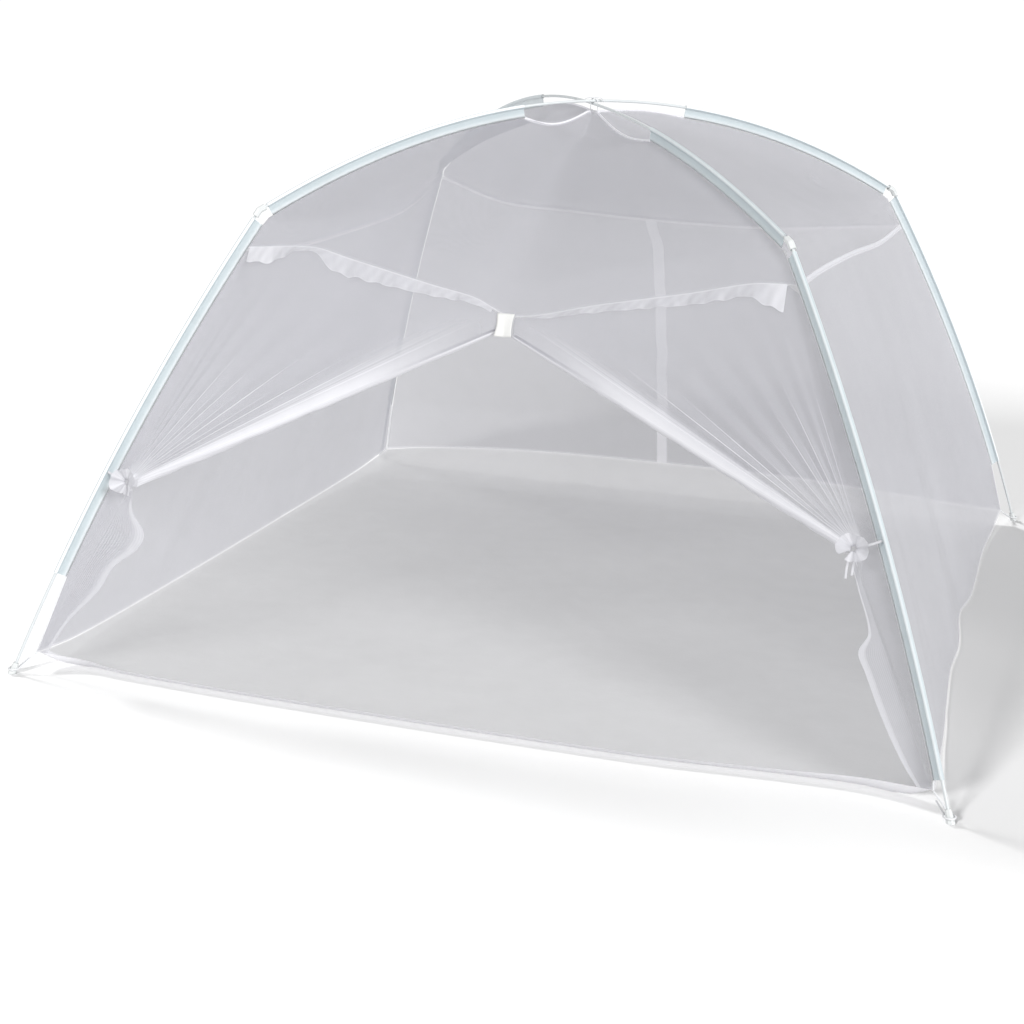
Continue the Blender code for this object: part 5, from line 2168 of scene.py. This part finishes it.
@dataclass
class Doorway:
    """Both halves of the doorway's cloth, their ties, the ruffled strips and the tab that the halves hang from."""

    tab_width: float = 0.046
    tab_height: float = 0.060
    tab_above: float = 0.005

    def tab(self) -> None:
        """Builds the white tab over the ends of the rolled edges."""
        middle = (DOORS[0].edge_share + DOORS[1].edge_share) / 2
        top = FRONT.seam(middle)

        def place(u: float, v: float) -> Vector:
            """A point of the tab, drawn in a little at its waist.

            Args:
                u: to the right.
                v: upwards.

            Returns:
                The point.
            """
            low = (self.tab_above - self.tab_height) * (1 - v) + self.tab_above * v
            waist = 1 - 0.14 * math.sin(math.pi * v)
            out = 0.0050 + 0.0060 * (1 - v) * abs(2 * u - 1) + 0.0006 * math.sin(v * 9.0)
            return top + RIGHT * (u - 0.5) * self.tab_width * waist + KNOT_UP * low + KNOT_OUT * out

        finish = TapeFinish("tab cloth", self.tab_width, (0.72, 0.72, 0.71, 1.0), 1.0, 0.0012).material()
        cloth = Cloth(
            "centre_tab_cloth", place, even(10), even(12), finish, Slot.TAPE, ["centre_tab"], outward=KNOT_OUT,
            thickness=0.0014,
        )
        declare(cloth, cloth.build(), "hung")

    def build(self) -> None:
        """Builds all of them."""
        # The door net's colour is darker than the plain net's, like the front roof's: painted shade against the
        # stronger lamp light on the doorway side.
        door_net = NetFinish("door net", (0.43, 0.43, 0.465, 1.0), (0.70, 0.70, 0.73, 1.0), 0.44).material()
        tie_finish = TapeFinish("tie tape", 0.006, (0.66, 0.66, 0.69, 1.0)).material()
        for door in DOORS:
            cloth, piece = door.build(door_net)
            ties = TieTape(door).build(tie_finish)
            declare(cloth, piece, "gathered")
        strip_net = NetFinish("strip net", white=(0.74, 0.74, 0.77, 1.0), density=0.50).material()
        for valance in VALANCES:
            valance.build(strip_net)
        self.tab()


DOORS = (
    Door(
        "left", LEGS[0], -1, Vector((-0.940, -0.986, 0.489)), 0.484,
        (0.484, 0.455, 0.41, 0.365, 0.32, 0.278, 0.235, 0.198, 0.16, 0.13, 0.10, 0.077, 0.055, 0.04, 0.024, 0.012),
        0.008, 0.017,
        (
            (0.0, 0.0), (0.12, 0.030), (0.24, 0.095), (0.33, 0.100), (0.45, 0.060), (0.60, 0.052), (0.80, 0.012),
            (1.0, 0.0),
        ),
        0.020,
        (
            (1.0, 0.55, 0.90), (2.0, 0.46, 0.75), (3.0, 0.30, 0.55), (4.0, 0.46, 0.70), (5.0, 0.28, 0.50),
            (6.0, 0.36, 0.60), (7.0, 0.26, 0.50), (8.0, 0.36, 0.60), (10.0, 0.30, 0.50), (12.0, 0.28, 0.45),
        ),
    ),
    Door(
        "right", LEGS[1], 1, Vector((0.926, -0.974, 0.522)), 0.514,
        (0.514, 0.545, 0.59, 0.635, 0.68, 0.722, 0.765, 0.802, 0.84, 0.87, 0.90, 0.922, 0.945, 0.96, 0.976, 0.988),
        0.008, 0.019,
        (
            (0.0, 0.0), (0.15, 0.002), (0.34, 0.008), (0.43, 0.044), (0.52, 0.042), (0.72, 0.034), (0.90, 0.018),
            (1.0, 0.0),
        ),
        0.050,
        (
            (2.0, 0.48, 0.85), (3.0, 0.40, 0.70), (4.0, 0.26, 0.45), (6.0, 0.30, 0.50), (8.0, 0.34, 0.60),
            (9.0, 0.26, 0.50), (10.0, 0.36, 0.70), (12.0, 0.30, 0.60), (14.0, 0.34, 0.75),
        ),
    ),
)


@dataclass(frozen=True)
class Studio:
    """The plain pale floor, the soft light and the camera at the photograph's angle."""

    photo_pixels: int = 1024
    focal_pixels: float = 1642.345
    eye: tuple[float, float, float] = (1.35757895, -4.54976183, 1.66035345)
    right: tuple[float, float, float] = (0.94303998, 0.33254579, 0.00942803)
    down: tuple[float, float, float] = (0.10431741, -0.26867742, -0.95756479)
    ahead: tuple[float, float, float] = (-0.31590105, 0.90400539, -0.28806387)
    fill: float = 0.40

    def camera(self) -> None:
        """Places the camera."""
        made = bpy.data.objects.new("camera", bpy.data.cameras.new("camera"))
        bpy.context.scene.collection.objects.link(made)
        made.data.sensor_width = 36.0
        made.data.lens = made.data.sensor_width * self.focal_pixels / self.photo_pixels
        made.data.clip_start = 0.05
        turn = Matrix((Vector(self.right), -Vector(self.down), -Vector(self.ahead))).transposed().to_4x4()
        made.matrix_world = Matrix.Translation(self.eye) @ turn
        bpy.context.scene.camera = made

    def ground(self) -> bpy.types.Object:
        """Lays the pale floor that the canopy stands on.

        Returns:
            The floor.
        """
        bm = bmesh.new()
        bmesh.ops.create_grid(bm, x_segments=4, y_segments=4, size=40.0, matrix=Matrix.Translation((0, 0, -0.0005)))
        made, w, shader = start_material("studio ground")
        tone = w.group(EFFECTS.drift, Vector=w.place, Size=1.5, Strength=0.01).outputs[0]
        w.feed(shader.inputs["Base Color"], w.scaled((0.86, 0.86, 0.86), tone))
        shader.inputs["Roughness"].default_value = 0.9
        shader.inputs["Specular IOR Level"].default_value = 0.0
        ground = new_object("studio_ground", bm, made)
        return ground

    def lamp(self, name: str, energy: float, aim: Vector, spread: float, ground: bpy.types.Object, lights: str) -> None:
        """Adds a soft distant lamp.

        Args:
            name: of the lamp.
            energy: its strength.
            aim: which way its light travels.
            spread: how wide it looks, in degrees.
            ground: the floor.
            lights: INCLUDE for a lamp on the floor alone, EXCLUDE for one on the canopy alone.
        """
        made = bpy.data.lights.new(name, "SUN")
        made.energy = energy
        made.angle = math.radians(spread)
        lamp = bpy.data.objects.new(name, made)
        lamp.rotation_mode = "QUATERNION"
        lamp.rotation_quaternion = aim.to_track_quat("-Z", "Y")
        bpy.context.scene.collection.objects.link(lamp)
        reached = bpy.data.collections.new(f"{name} light")
        reached.objects.link(ground)
        reached.collection_objects[0].light_linking.link_state = lights
        lamp.light_linking.receiver_collection = reached

    def build(self) -> None:
        """Sets up light, floor and camera."""
        world = bpy.data.worlds.new("studio")
        world.use_nodes = True
        w = Wiring(world.node_tree)
        sky = world.node_tree.nodes["Background"]
        sky.inputs[0].default_value = (1.0, 1.0, 1.0, 1.0)
        seen = w.add("ShaderNodeLightPath").outputs["Is Camera Ray"]
        w.feed(sky.inputs[1], w.ramp(seen, 0.0, 1.0, self.fill, 1.05))
        scene = bpy.context.scene
        scene.world = world
        scene.view_settings.view_transform = "Standard"
        ground = self.ground()
        self.lamp("key", 2.5, Vector((-0.76, 0.46, -0.46)), 20.0, ground, "EXCLUDE")
        self.lamp("side", 1.2, Vector((0.36, 0.60, -0.66)), 20.0, ground, "EXCLUDE")
        self.lamp("floor back", 3.3, Vector((0.32, 0.86, -0.40)), 12.0, ground, "INCLUDE")
        self.lamp("floor front", 2.3, Vector((0.72, -0.40, -0.62)), 10.0, ground, "INCLUDE")
        self.camera()


def main() -> None:
    """Builds the studio, then the canopy from its poles to its doorway, and notes its size."""
    logging.basicConfig(level=logging.INFO, format="%(message)s")
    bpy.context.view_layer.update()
    Studio().build()
    PoleFrame().build()
    sleeves = Sleeves()
    sleeves.build()
    tapes = Tapes()
    tapes.build()
    NetPanels(tapes, sleeves).build()
    Cords(CordFinish().material()).build()
    # The floor net is nearly opaque and grey: partly the floor cloth's own grey, partly painted shade for the ground
    # under the canopy.
    Floor().build(NetFinish("floor net", colour=(0.61, 0.61, 0.62, 1.0), density=0.86).material())
    Doorway().build()


if __name__ == "__main__":
    main()
